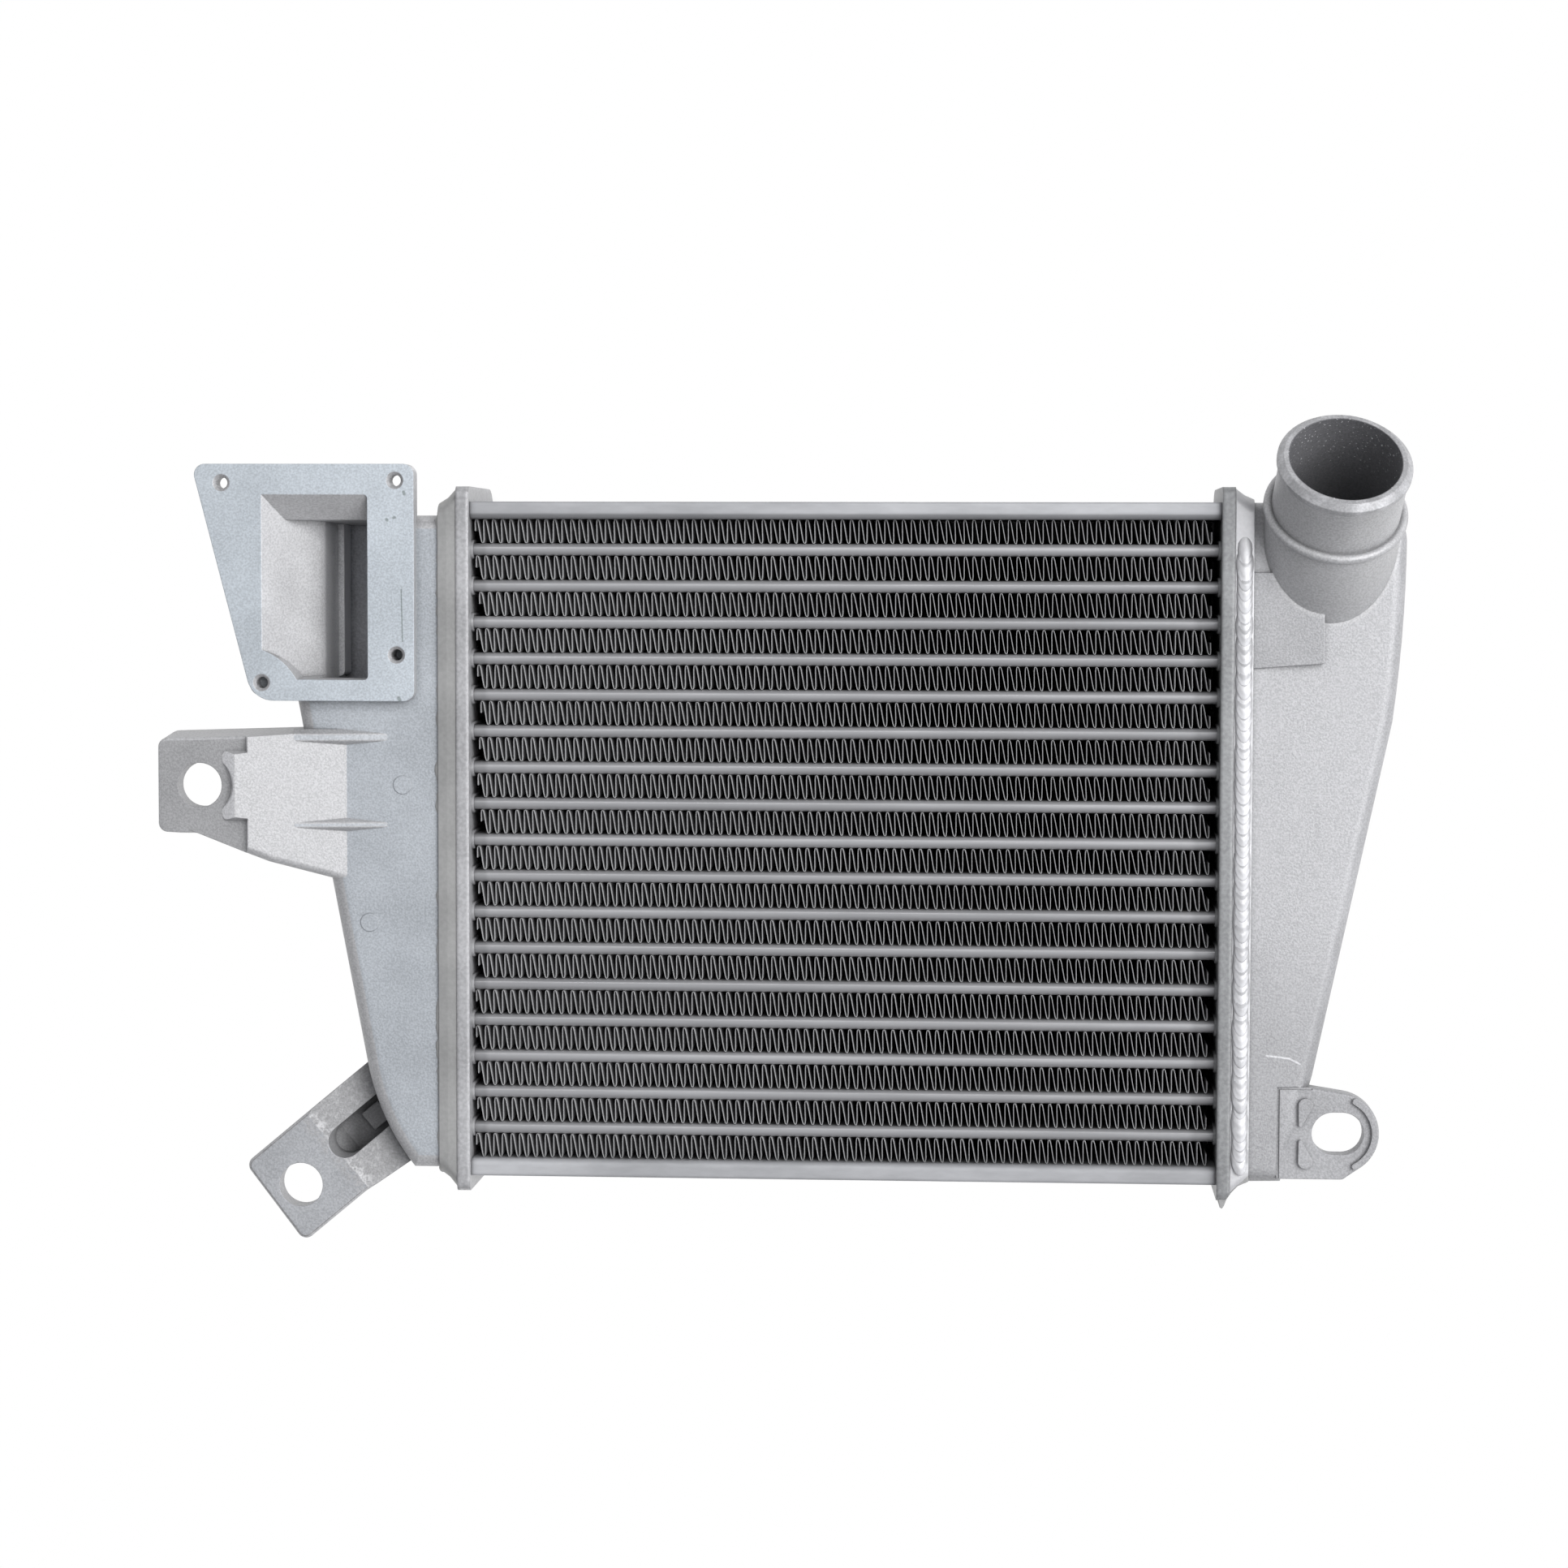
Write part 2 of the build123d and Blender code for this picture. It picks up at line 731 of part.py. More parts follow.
def right_outline(start):
    """The tank's front outline: a bowed outer wall that runs in to the foot."""
    with BuildSketch() as outline:
        with BuildLine():
            wall_top = right(right_reach, right_top - right_corner)
            bow_mid = right(bow_out, bow_up)
            bow_end = right(bow_end_out, bow_end_up)
            knee = right(knee_out, knee_up)
            Polyline(right(start, right_base), right(start, right_top))
            Polyline(right(start, right_top), right(right_reach - right_corner, right_top))
            RadiusArc(right(right_reach - right_corner, right_top), wall_top, right_corner)
            ThreePointArc(wall_top, bow_mid, bow_end)
            foot = right(right_foot_out, right_base)
            Polyline(bow_end, knee, foot, right(start, right_base))
        make_face()
    return outline.sketch


fall = tan(radians(face_slope))
mouth = Vector(seam + pipe_out, pipe_up, tank_front + pipe_front)
pipe_axis = Vector(tan(radians(pipe_lean_side)), tan(radians(pipe_lean_up)), 1).normalized()
pipe_plane = Plane(origin=mouth, x_dir=(1, 0, 0), z_dir=pipe_axis)
pipe_section = Plane(origin=mouth, x_dir=pipe_plane.x_dir, z_dir=pipe_plane.x_dir.cross(pipe_axis))

with BuildPart() as right_cavity:
    with BuildSketch(Plane.XY.offset(tank_back + tank_wall)):
        add(right_outline(-tank_wall - hole_clear))
        offset(amount=-tank_wall, mode=Mode.REPLACE)
    extrude(amount=tank_depth - 2 * tank_wall)
    with BuildSketch(Plane.XZ.offset(cut_reach / 2)):
        with BuildLine():
            roof = tank_front - tank_wall
            Polyline(
                right(0, roof),
                right(cut_reach, roof - cut_reach * fall),
                right(cut_reach, roof + hole_clear),
                right(0, roof + hole_clear),
                close=True,
            )
        make_face()
    extrude(amount=-cut_reach, mode=Mode.SUBTRACT)

# Bolt lug at the foot, with a low rim round its end
oval_at = right(oval_out, right_base + oval_up)
foot_face = tank_front + foot_lug_seat
with BuildLine() as rim_line:
    CenterArc(oval_at, rim_radius, -rim_sweep / 2, rim_sweep)

with BuildPart() as right_tank:
    with BuildSketch(Plane.XY.offset(tank_back)):
        add(right_outline(0))
    extrude(amount=tank_depth)
    # The front face falls away from the seam
    with BuildSketch(Plane.XZ.offset(cut_reach / 2)):
        with BuildLine():
            Polyline(
                right(0, tank_front),
                right(cut_reach, tank_front - cut_reach * fall),
                right(cut_reach, tank_front + hole_clear),
                right(0, tank_front + hole_clear),
                close=True,
            )
        make_face()
    extrude(amount=-cut_reach, mode=Mode.SUBTRACT)
    front_rim = right_tank.faces().sort_by(Axis.Z)[-1].edges().sort_by(Axis.X)[1:]
    back_rim = right_tank.faces().sort_by(Axis.Z)[0].edges().sort_by(Axis.X)[1:]
    fillet(front_rim + back_rim, tank_edge)
    # Flat pad beside the pipe, parallel to the core
    with BuildSketch(Plane.XY.offset(tank_front - 2 * tank_wall)):
        with BuildLine():
            Polyline(
                right(0, pad_low - pad_tilt),
                right(pad_out, pad_low),
                right(pad_out, pad_high),
                right(0, pad_high),
                close=True,
            )
        make_face()
    extrude(amount=2 * tank_wall)
    with BuildSketch(Plane.XY.offset(foot_face - foot_lug_thick)):
        with BuildLine():
            lug_top = oval_at[1] + foot_lug_half
            lug_foot = oval_at[1] - foot_lug_half
            Polyline(
                right(foot_lug_near, lug_top),
                right(foot_lug_high_out, lug_top),
                right(foot_lug_low_out, lug_foot),
                right(foot_lug_near, lug_foot),
                close=True,
            )
        make_face()
        with Locations(oval_at):
            Circle(foot_lug_round)
        make_hull()
    extrude(amount=foot_lug_thick)
    foot_seat = right_tank.faces().filter_by_position(Axis.Z, foot_face - 0.1, foot_face + 0.1)
    foot_rim = foot_seat.filter_by(Axis.Z)[0].edges().filter_by_position(Axis.X, oval_at[0], cut_reach)
    fillet(foot_rim, foot_lug_edge)
    # Pipe: body, stop ring, hose seat and rolled lip in one turned form
    with BuildSketch(pipe_section):
        with BuildLine():
            seat_end = -pipe_seat_length
            ring_end = seat_end - pipe_ring_length
            lip = pipe_lip / 2
            Polyline(
                (0, 0),
                (lip - pipe_lip_round, 0),
                (lip, -pipe_lip_round),
                (lip, pipe_lip_round - pipe_lip_length),
                (pipe_neck / 2, -pipe_lip_length),
                (pipe_neck / 2, seat_end),
            )
            ThreePointArc(
                (pipe_neck / 2, seat_end),
                (pipe_ring / 2, (seat_end + ring_end) / 2),
                (pipe_body / 2, ring_end),
            )
            Polyline((pipe_body / 2, ring_end), (pipe_body / 2, -pipe_length), (0, -pipe_length))
            Polyline((0, -pipe_length), (0, 0))
        make_face()
    revolve(axis=Axis(mouth, pipe_axis))
    add(right_cavity.part, mode=Mode.SUBTRACT)
    with BuildSketch(pipe_plane.offset(-pipe_reach)):
        Circle(pipe_bore / 2)
    extrude(amount=pipe_reach + hole_clear, mode=Mode.SUBTRACT)
    # Low relief on the lug: two drops beside the hole and a rim round its end
    for side in (1, -1):
        with BuildSketch(Plane.XY.offset(foot_face)):
            with Locations(right(drop_out, oval_at[1] + side * drop_up)):
                Circle(drop_round)
            with Locations(right(drop_tip_out, oval_at[1] + side * drop_tip_up)):
                Circle(drop_tip_round)
            make_hull()
        extrude(amount=relief_rise)
    with BuildSketch(Plane.XY.offset(foot_face)):
        SlotArc(rim_line.edges()[0], relief_wide)
    extrude(amount=relief_rise)
    with BuildSketch(Plane.XY.offset(foot_face + relief_rise)):
        with Locations(oval_at):
            SlotOverall(oval_length, oval_width)
    extrude(amount=-2 * foot_lug_thick, mode=Mode.SUBTRACT)

# The rest of the pieces
pieces = {
    "left_tank": left_tank,
    "right_tank": right_tank,
    "left_header": header_plate(-1),
    "right_header": header_plate(1),
    "left_weld_bead": weld_bead(-1, left_top, left_base, left_toe_rise),
    "right_weld_bead": weld_bead(1, right_top, right_base, bead_rise),
    "top_side_plate": side_plate(1),
    "bottom_side_plate": side_plate(-1),
}
for number, up in enumerate(tube_ups, 1):
    pieces[f"tube_{number:02d}"] = flat_tube(up)
for number, up in enumerate(fin_ups, 1):
    pieces[f"fin_{number:02d}"] = fin_row(up)

# The origin is under the middle of the whole part, on the face that it lies on
boxes = [piece.part.bounding_box() for piece in pieces.values()]
middle_x = (min(box.min.X for box in boxes) + max(box.max.X for box in boxes)) / 2
middle_y = (min(box.min.Y for box in boxes) + max(box.max.Y for box in boxes)) / 2
home = Location((-middle_x, -middle_y, 0))
for name, piece in pieces.items():
    piece.part = piece.part.moved(home)
    piece.part.label = name
    export_step(piece.part, f"parts/{name}.step")
print(len(pieces), "pieces, origin moved by", round(-middle_x, 3), round(-middle_y, 3))
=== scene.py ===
# %% [markdown]
# # An intercooler, dressed
# The solids of this air-to-air cooler come from the CAD model: a core of flat
# tubes and folded fins between two header plates, and a cast tank welded to
# each header. This lesson gives every piece its finish and adds what CAD left
# out: the true fin pitch, the weld's ripples and lips, and a few cut edges.

# %% Load the frame
import json
import math

import bmesh
import bpy
from mathutils import Matrix, Vector, noise


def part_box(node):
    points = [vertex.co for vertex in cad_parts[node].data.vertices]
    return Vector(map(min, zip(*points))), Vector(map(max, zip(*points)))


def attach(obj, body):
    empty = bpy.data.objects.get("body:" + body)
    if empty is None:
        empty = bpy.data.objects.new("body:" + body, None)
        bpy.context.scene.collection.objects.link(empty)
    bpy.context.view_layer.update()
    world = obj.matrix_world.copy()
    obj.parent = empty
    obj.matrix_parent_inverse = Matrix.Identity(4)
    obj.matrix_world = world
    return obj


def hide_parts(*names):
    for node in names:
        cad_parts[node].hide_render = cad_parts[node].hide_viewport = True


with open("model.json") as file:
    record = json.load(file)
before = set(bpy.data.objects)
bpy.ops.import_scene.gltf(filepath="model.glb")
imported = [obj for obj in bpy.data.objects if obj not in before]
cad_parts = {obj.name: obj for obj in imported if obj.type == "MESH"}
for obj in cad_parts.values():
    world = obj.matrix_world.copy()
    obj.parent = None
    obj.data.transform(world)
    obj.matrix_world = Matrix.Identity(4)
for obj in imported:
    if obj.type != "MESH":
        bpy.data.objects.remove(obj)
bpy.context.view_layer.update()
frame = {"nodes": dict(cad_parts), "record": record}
nodes = frame["nodes"]
MM = 0.001

# %% [markdown]
# ## The core's centre
# Everything is measured from the middle of the core, between the two headers.
# The helper turns millimetres from there into the frame's metres, so the scene
# follows the CAD if that moves.

# %% Measure from the core
left_low, left_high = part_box("left_header")
right_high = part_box("right_header")[1]
HOME = Vector(((left_low.x + right_high.x) / 2, (left_low.y + left_high.y) / 2, 0))


def at(across, up, deep):
    """A point in metres from millimetres measured at the core's centre."""
    return HOME + Vector((across, up, deep)) * MM


print("core centre", [round(v, 5) for v in HOME])

# %% [markdown]
# ## The camera
# The photo's viewpoint was worked out from the core's rows, so the camera only
# repeats it: about 1.4 m away, nearly square on, a little above the middle and
# to the right. A long lens keeps the perspective as slight as it is there.

# %% Camera
PHOTO_PIXELS = 1932
FOCAL_PIXELS = 4444
SENSOR = 36
EYE = (64.16, 100.69, 1390.43)
LOOK = (-0.06435, -0.05930, -0.99616)
OVERHEAD = (-0.00618, 0.99824, -0.05902)

camera_data = bpy.data.cameras.new("camera")
camera_data.lens = FOCAL_PIXELS / PHOTO_PIXELS * SENSOR
camera_data.sensor_width = SENSOR
camera = bpy.data.objects.new("camera", camera_data)
look = Vector(LOOK).normalized()
sideways = look.cross(Vector(OVERHEAD)).normalized()
upward = sideways.cross(look)
turn = Matrix((sideways, upward, -look)).transposed().to_4x4()
camera.matrix_world = Matrix.Translation(at(*EYE)) @ turn
bpy.context.scene.collection.objects.link(camera)
bpy.context.scene.camera = camera
bpy.context.scene.view_settings.view_transform = "Standard"
print("lens", round(camera_data.lens, 2), "mm")

# %% [markdown]
# ## A kit for node trees
# Materials and shapes below are all built from nodes. These helpers keep each
# step to one line: they add a node, fill its inputs and hand back its result.

# %% Nodes, numbers and vectors


def node(tree, kind, inputs=None, **settings):
    """Adds a node, sets its options and fills its inputs with values or links."""
    made = tree.nodes.new(kind)
    for key, value in settings.items():
        setattr(made, key, value)
    for key, value in (inputs or {}).items():
        if isinstance(value, bpy.types.NodeSocket):
            tree.links.new(value, made.inputs[key])
        else:
            made.inputs[key].default_value = value
    return made


def maths(tree, operation, *values):
    """One Math node, and its result."""
    made = node(tree, "ShaderNodeMath", dict(enumerate(values)), operation=operation)
    return made.outputs[0]


def vectors(tree, operation, *values, scale=None):
    """One Vector Math node, and its result: a vector or a number."""
    inputs = dict(enumerate(values))
    if scale is not None:
        inputs["Scale"] = scale
    made = node(tree, "ShaderNodeVectorMath", inputs, operation=operation)
    is_number = operation in ("DOT_PRODUCT", "LENGTH", "DISTANCE")
    return made.outputs["Value" if is_number else "Vector"]


def split(tree, vector):
    """The parts of a vector, named X, Y and Z."""
    return node(tree, "ShaderNodeSeparateXYZ", {0: vector}).outputs


def joined(tree, x, y, z):
    """A vector from its three parts."""
    return node(tree, "ShaderNodeCombineXYZ", {0: x, 1: y, 2: z}).outputs[0]


# %% Ramps and colours
WHITE = (1, 1, 1, 1)


def ramp(tree, value, low, high, start=0.0, end=1.0):
    """Spreads a value between two marks over a new range, smoothly and clamped."""
    inputs = {0: value, 1: low, 2: high, 3: start, 4: end}
    made = node(tree, "ShaderNodeMapRange", inputs, interpolation_type="SMOOTHSTEP")
    return made.outputs[0]


def blend_colour(tree, factor, first, second):
    """Mixes two colours by a factor."""
    made = node(tree, "ShaderNodeMix", {0: factor, 6: first, 7: second}, data_type="RGBA")
    return made.outputs[2]


def grey(level):
    """A neutral tint."""
    return (level, level, level, 1)


def new_material(name):
    """An empty node material and its tree."""
    material = bpy.data.materials.new(name)
    material.use_nodes = True
    material.node_tree.nodes.clear()
    return material, material.node_tree


# %% [markdown]
# ## Floor and light
# The part lies on a pale floor. The camera and mirror-like rays see the floor
# as plain white, and a nearness test paints shadow on it right under the part,
# where the gaps between the fins look through to it.

# %% Floor
FLOOR_REACH = 3.0
SHADE_REACH = 0.05
SHADE_MARKS = (0.10, 0.40)

corners = [(-1, -1, 0), (1, -1, 0), (1, 1, 0), (-1, 1, 0)]
floor_mesh = bpy.data.meshes.new("floor")
floor_mesh.from_pydata([Vector(c) * FLOOR_REACH for c in corners], [], [(0, 1, 2, 3)])
floor = bpy.data.objects.new("floor", floor_mesh)
bpy.context.scene.collection.objects.link(floor)

floor_paint, tree = new_material("floor_paint")
# Painted shadow: the floor's white dims where the part is close above it.
near = node(tree, "ShaderNodeAmbientOcclusion", {"Distance": SHADE_REACH}, samples=16)
openness = ramp(tree, near.outputs["AO"], *SHADE_MARKS)
rays = node(tree, "ShaderNodeLightPath").outputs
seen = maths(tree, "MAXIMUM", rays["Is Camera Ray"], rays["Is Glossy Ray"])
seen = maths(tree, "MAXIMUM", seen, rays["Is Transmission Ray"])
white = node(tree, "ShaderNodeEmission", {"Color": WHITE, "Strength": openness})
plain = node(tree, "ShaderNodeBsdfDiffuse", {"Color": grey(0.8)})
shown = node(tree, "ShaderNodeMixShader", {0: seen, 1: plain.outputs[0], 2: white.outputs[0]})
node(tree, "ShaderNodeOutputMaterial", {"Surface": shown.outputs[0]})
floor_mesh.materials.append(floor_paint)
print("floor", 2 * FLOOR_REACH, "m wide")

# %% [markdown]
# ## The studio
# A photo studio is a bright room, so the world is a soft grey that changes from
# side to side. The right is brighter, and the top and bottom are darker. That is
# what gives the tubes their bright line and dull edges. A broad sun from the
# right models the castings, and a long narrow lamp adds the line on the tubes.

# %% World
world = bpy.data.worlds.new("studio")
bpy.context.scene.world = world
world.use_nodes = True
sky = world.node_tree
sky.nodes.clear()
towards = split(sky, node(sky, "ShaderNodeTexCoord").outputs["Generated"])
endwise = maths(sky, "ABSOLUTE", towards["Y"])

# Each row is a direction, two marks on it, and the light that it adds at each.
ROOM = (
    (towards["Z"], -0.2, 1.0, 0.30, 0.50),
    (towards["X"], 0.0, 0.9, 0.0, 0.35),
    (towards["X"], -0.9, 0.0, -0.05, 0.0),
    (endwise, 0.2, 0.95, 0.0, -0.14),
)
level = 0.0
for direction, *marks in ROOM:
    level = maths(sky, "ADD", level, ramp(sky, direction, *marks))
room = node(sky, "ShaderNodeBackground", {"Color": (0.98, 0.99, 1.03, 1), "Strength": level})
paper = node(sky, "ShaderNodeBackground", {"Color": WHITE, "Strength": 1.0})
rays = node(sky, "ShaderNodeLightPath").outputs
seen = maths(sky, "MAXIMUM", rays["Is Camera Ray"], rays["Is Transmission Ray"])
mixed = node(sky, "ShaderNodeMixShader", {0: seen, 1: room.outputs[0], 2: paper.outputs[0]})
node(sky, "ShaderNodeOutputWorld", {"Surface": mixed.outputs[0]})
print("world", world.name, "with", len(ROOM), "sides")

# %% Lamps


def add_lamp(name, kind, energy, direction):
    """A lamp that shines on the core from a direction."""
    data = bpy.data.lights.new(name, kind)
    data.energy = energy
    lamp = bpy.data.objects.new(name, data)
    lamp.rotation_euler = direction.to_track_quat("Z", "Y").to_euler()
    lamp.location = HOME + direction
    bpy.context.scene.collection.objects.link(lamp)
    return data


key_window = add_lamp("key_window", "SUN", 2.1, Vector((0.60, 0.15, 0.78)))
key_window.angle = 0.8
strip_lamp = add_lamp("strip_lamp", "AREA", 3.0, Vector((0.0, 0.75, 1.1)))
strip_lamp.shape = "RECTANGLE"
strip_lamp.size = 2.6
strip_lamp.size_y = 0.12

# %% [markdown]
# ## Metal finishes
# Every piece is aluminium, but each was made another way: cast in sand, rolled
# into sheet, milled flat or melted by a welding torch. One recipe serves them
# all. It takes a colour, a grain and a roughness, and mottles each at several
# sizes, because bare metal is never one even grey. Shade is painted into the
# corners, and a soft edge catches the light, so nothing looks cut from paper.

# %% The recipe
CORNER_SHADE_REACH = 4
CORNER_SHADE_TONES = (0.62, 1.0)
BROAD_PATCHES = 40.0
CALM_SHARE = -0.75


def measured(tree):
    """The shaded point's place in millimetres from the core's centre."""
    place = node(tree, "ShaderNodeTexCoord").outputs["Object"]
    scaled = {"Vector": place, "Location": -HOME / MM, "Scale": (1 / MM, 1 / MM, 1 / MM)}
    return node(tree, "ShaderNodeMapping", scaled).outputs[0]


def metal(
    name,
    colour,
    rough,
    grain,
    bump,
    patch=0.06,
    speckle=0.04,
    stretch=(1, 1, 1),
    metallic=0.3,
    edge=0.5,
    zones=None,
):
    """A bare metal with grain of a given size in millimetres and a given height."""
    material, tree = new_material(name)
    place = node(tree, "ShaderNodeTexCoord").outputs["Object"]
    drawn = node(tree, "ShaderNodeMapping", {"Vector": place, "Scale": stretch}).outputs[0]
    fine = {"Vector": drawn, "Scale": 1000 / grain, "Detail": 3.0}
    fine = node(tree, "ShaderNodeTexNoise", fine).outputs[0]
    broad = {"Vector": drawn, "Scale": BROAD_PATCHES, "Detail": 4.0}
    broad = node(tree, "ShaderNodeTexNoise", broad).outputs[0]
    patches = ramp(tree, broad, 0.3, 0.7, -1.0, 1.0)
    flecks = ramp(tree, fine, 0.3, 0.7, -1.0, 1.0)
    level = maths(tree, "MULTIPLY_ADD", patches, patch, 1.0)
    level = maths(tree, "MULTIPLY_ADD", flecks, speckle, level)
    tone = vectors(tree, "SCALE", colour, scale=level)
    # Painted shade: the colour darkens where an occlusion test finds surfaces close by, as in
    # corners and creases.
    corner = node(tree, "ShaderNodeAmbientOcclusion", {"Distance": CORNER_SHADE_REACH * MM}, samples=8)
    corner_shade = ramp(tree, corner.outputs["AO"], 0.30, 0.95, *CORNER_SHADE_TONES)
    tone = vectors(tree, "SCALE", tone, scale=corner_shade)
    calm = 0.0
    if zones:
        tint, calm = zones(tree, measured(tree))
        tone = vectors(tree, "MULTIPLY", tone, tint)
    roughness = maths(tree, "MULTIPLY_ADD", patches, 0.05, rough)
    strength = maths(tree, "MULTIPLY_ADD", calm, CALM_SHARE, 1.0)
    rounded = node(tree, "ShaderNodeBevel", {"Radius": edge * MM}, samples=6)
    relief = {"Strength": strength, "Height": fine, "Distance": bump * MM}
    relief["Normal"] = rounded.outputs[0]
    bumped = node(tree, "ShaderNodeBump", relief)
    surface = {"Base Color": tone, "Roughness": roughness, "Metallic": metallic}
    surface["Normal"] = bumped.outputs[0]
    body = node(tree, "ShaderNodeBsdfPrincipled", surface)
    node(tree, "ShaderNodeOutputMaterial", {"Surface": body.outputs[0]})
    print("metal", name, "with", len(tree.nodes), "nodes")
    return material


# %% [markdown]
# ## Zones on one casting
# A casting is one piece with one material, yet its surfaces differ: milled or as
# cast, darker or lighter in places, and some carry painted light or shade.
# Painting an image would do, but it would tie the finish to this one mesh. Here
# each zone is found by where a point is and which way it faces, so the tint
# follows the shape. A zone is a list of conditions.

# %% Masks for zones
AXES = ("across", "up", "deep", "face_x", "face_y", "face_z")


def both(tree, *masks):
    """Where every one of the masks holds."""
    product = masks[0]
    for mask in masks[1:]:
        product = maths(tree, "MULTIPLY", product, mask)
    return product


def band(tree, value, low, high, soft):
    """A mask that is one between two marks and fades over a soft edge."""
    rise = ramp(tree, value, low - soft / 2, low + soft / 2)
    fall = ramp(tree, value, high - soft / 2, high + soft / 2, 1.0, 0.0)
    return maths(tree, "MULTIPLY", rise, fall)


def zone_masks(tree, place, table):
    """A mask for each zone of a table, and the axes that it is measured on.

    A condition is an axis and two marks, and its mask rises from the first mark
    to the second. With a softness after them, the mask is one between the marks.
    """
    normal = node(tree, "ShaderNodeNewGeometry").outputs["Normal"]
    axes = dict(zip(AXES, (*split(tree, place), *split(tree, normal))))
    masks = {}
    for zone, conditions in table.items():
        steps = []
        for axis, *marks in conditions:
            step = band if len(marks) == 3 else ramp
            steps.append(step(tree, axes[axis], *marks))
        masks[zone] = both(tree, *steps)
    return masks, axes


def coated(tree, coats):
    """Lays tints over white, each where its mask holds."""
    tint = WHITE
    for mask, colour in coats:
        tint = blend_colour(tree, mask, tint, colour)
    return tint


def mark(tree, place, start, end, width):
    """A mask along a short line on the front, such as a nick or a scratch."""
    flat = vectors(tree, "MULTIPLY", place, (1, 1, 0))
    a, b = Vector((*start, 0)), Vector((*end, 0))
    run = (b - a).length_squared or 1.0
    offset = vectors(tree, "SUBTRACT", flat, a)
    share = vectors(tree, "DOT_PRODUCT", offset, (b - a) / run)
    share = maths(tree, "MINIMUM", maths(tree, "MAXIMUM", share, 0.0), 1.0)
    nearest = vectors(tree, "SCALE", b - a, scale=share)
    gap = vectors(tree, "DISTANCE", offset, nearest)
    return ramp(tree, gap, width / 3, width, 1.0, 0.0)


def all_marks(tree, place, lines):
    """One mask for many short lines."""
    mask = 0.0
    for start, end, width in lines:
        mask = maths(tree, "MAXIMUM", mask, mark(tree, place, start, end, width))
    return mask


# %% [markdown]
# ## The left tank's zones
# The flange is milled flat, so its grain is calm, and it carries a painted bluish
# reflection that brightens to the right; faces that look straight out get a faint,
# slightly darker one. The duct behind it is lit through its window alone, so
# painted light raises its tints to what the photo shows, and lifts the arm's
# tongue where it faces away from the light. The seat round the arm's hole is
# darker. The lower lug's web is painted dark as shade, with painted glints along
# its crease, and its pocket and the flange's screw countersinks are painted dark
# as shade.

# %% Left tank
LEVEL = ("face_z", 0.975, 0.99)
IN_DUCT = ("up", 55, 57)
IN_SHAFT = ("across", -175, -177)
FACES_RIGHT = ("face_x", 0.5, 0.9)
ON_LUG = (("up", -80, -84), ("across", -152, -156), ("deep", 58.5, 57.5))
LEFT_ZONES = {
    "level": (LEVEL,),
    "milled": (LEVEL, ("deep", 69.3, 70.0, 0.2), ("up", 45, 47)),
    "slope": (("across", -176, -180), ("face_z", 0.92, 0.972, 0.01), ("up", -20, -10)),
    "seat": (LEVEL, ("deep", 72.3, 73.0, 0.2), ("across", -216, -219)),
    "inside": (("deep", 46.0, 36.0), IN_DUCT, IN_SHAFT),
    "tongue": (("across", -231.0, -205.0, 1.0), ("face_x", -0.2, -0.5), ("deep", 60, 64)),
    "ceiling": (("face_y", -0.5, -0.7), ("up", 95, 98), IN_SHAFT),
    "wall": (("across", -197.0, -194.6, 0.6), FACES_RIGHT, IN_DUCT),
    "under": (("across", -194.0, -190.5, 0.4), FACES_RIGHT, IN_DUCT),
    "ledge": (("across", -196.0, -193.0, 0.4), ("deep", 19.0, 20.2, 0.4), LEVEL),
    "ramp": (("face_x", 0.6, 0.9, 0.1), IN_DUCT),
    "lug": ON_LUG,
    "lug_seat": (*ON_LUG, LEVEL),
    "web": (*ON_LUG, ("face_z", 0.97, 0.95), ("face_z", 0.85, 0.9)),
    "pocket": (*ON_LUG, ("deep", 46.0, 42.0)),
    "screw_edge": (("face_z", 0.4, 0.9, 0.05),),
}
LUG_CREASE = ((-200.1, -107.5), (-180.7, -130.5), 5.2)
SCREW_WIDTH = 4.6
screw_mounts = [m for m in frame["record"]["mounts"] if m["name"].startswith("flange_screw")]
screws = [tuple((Vector(m["pos_m"]) - HOME).xy / MM) for m in screw_mounts]
FLANGE_NICKS = (
    ((-168.3, 118.9), (-168.0, 118.6), 0.8),
    ((-165.6, 119.5), (-165.2, 119.6), 0.7),
    ((-161.9, 129.0), (-161.6, 128.2), 0.8),
    ((-164.0, 53.0), (-163.6, 52.2), 0.9),
    ((-162.9, 93.0), (-162.5, 74.0), 0.35),
)


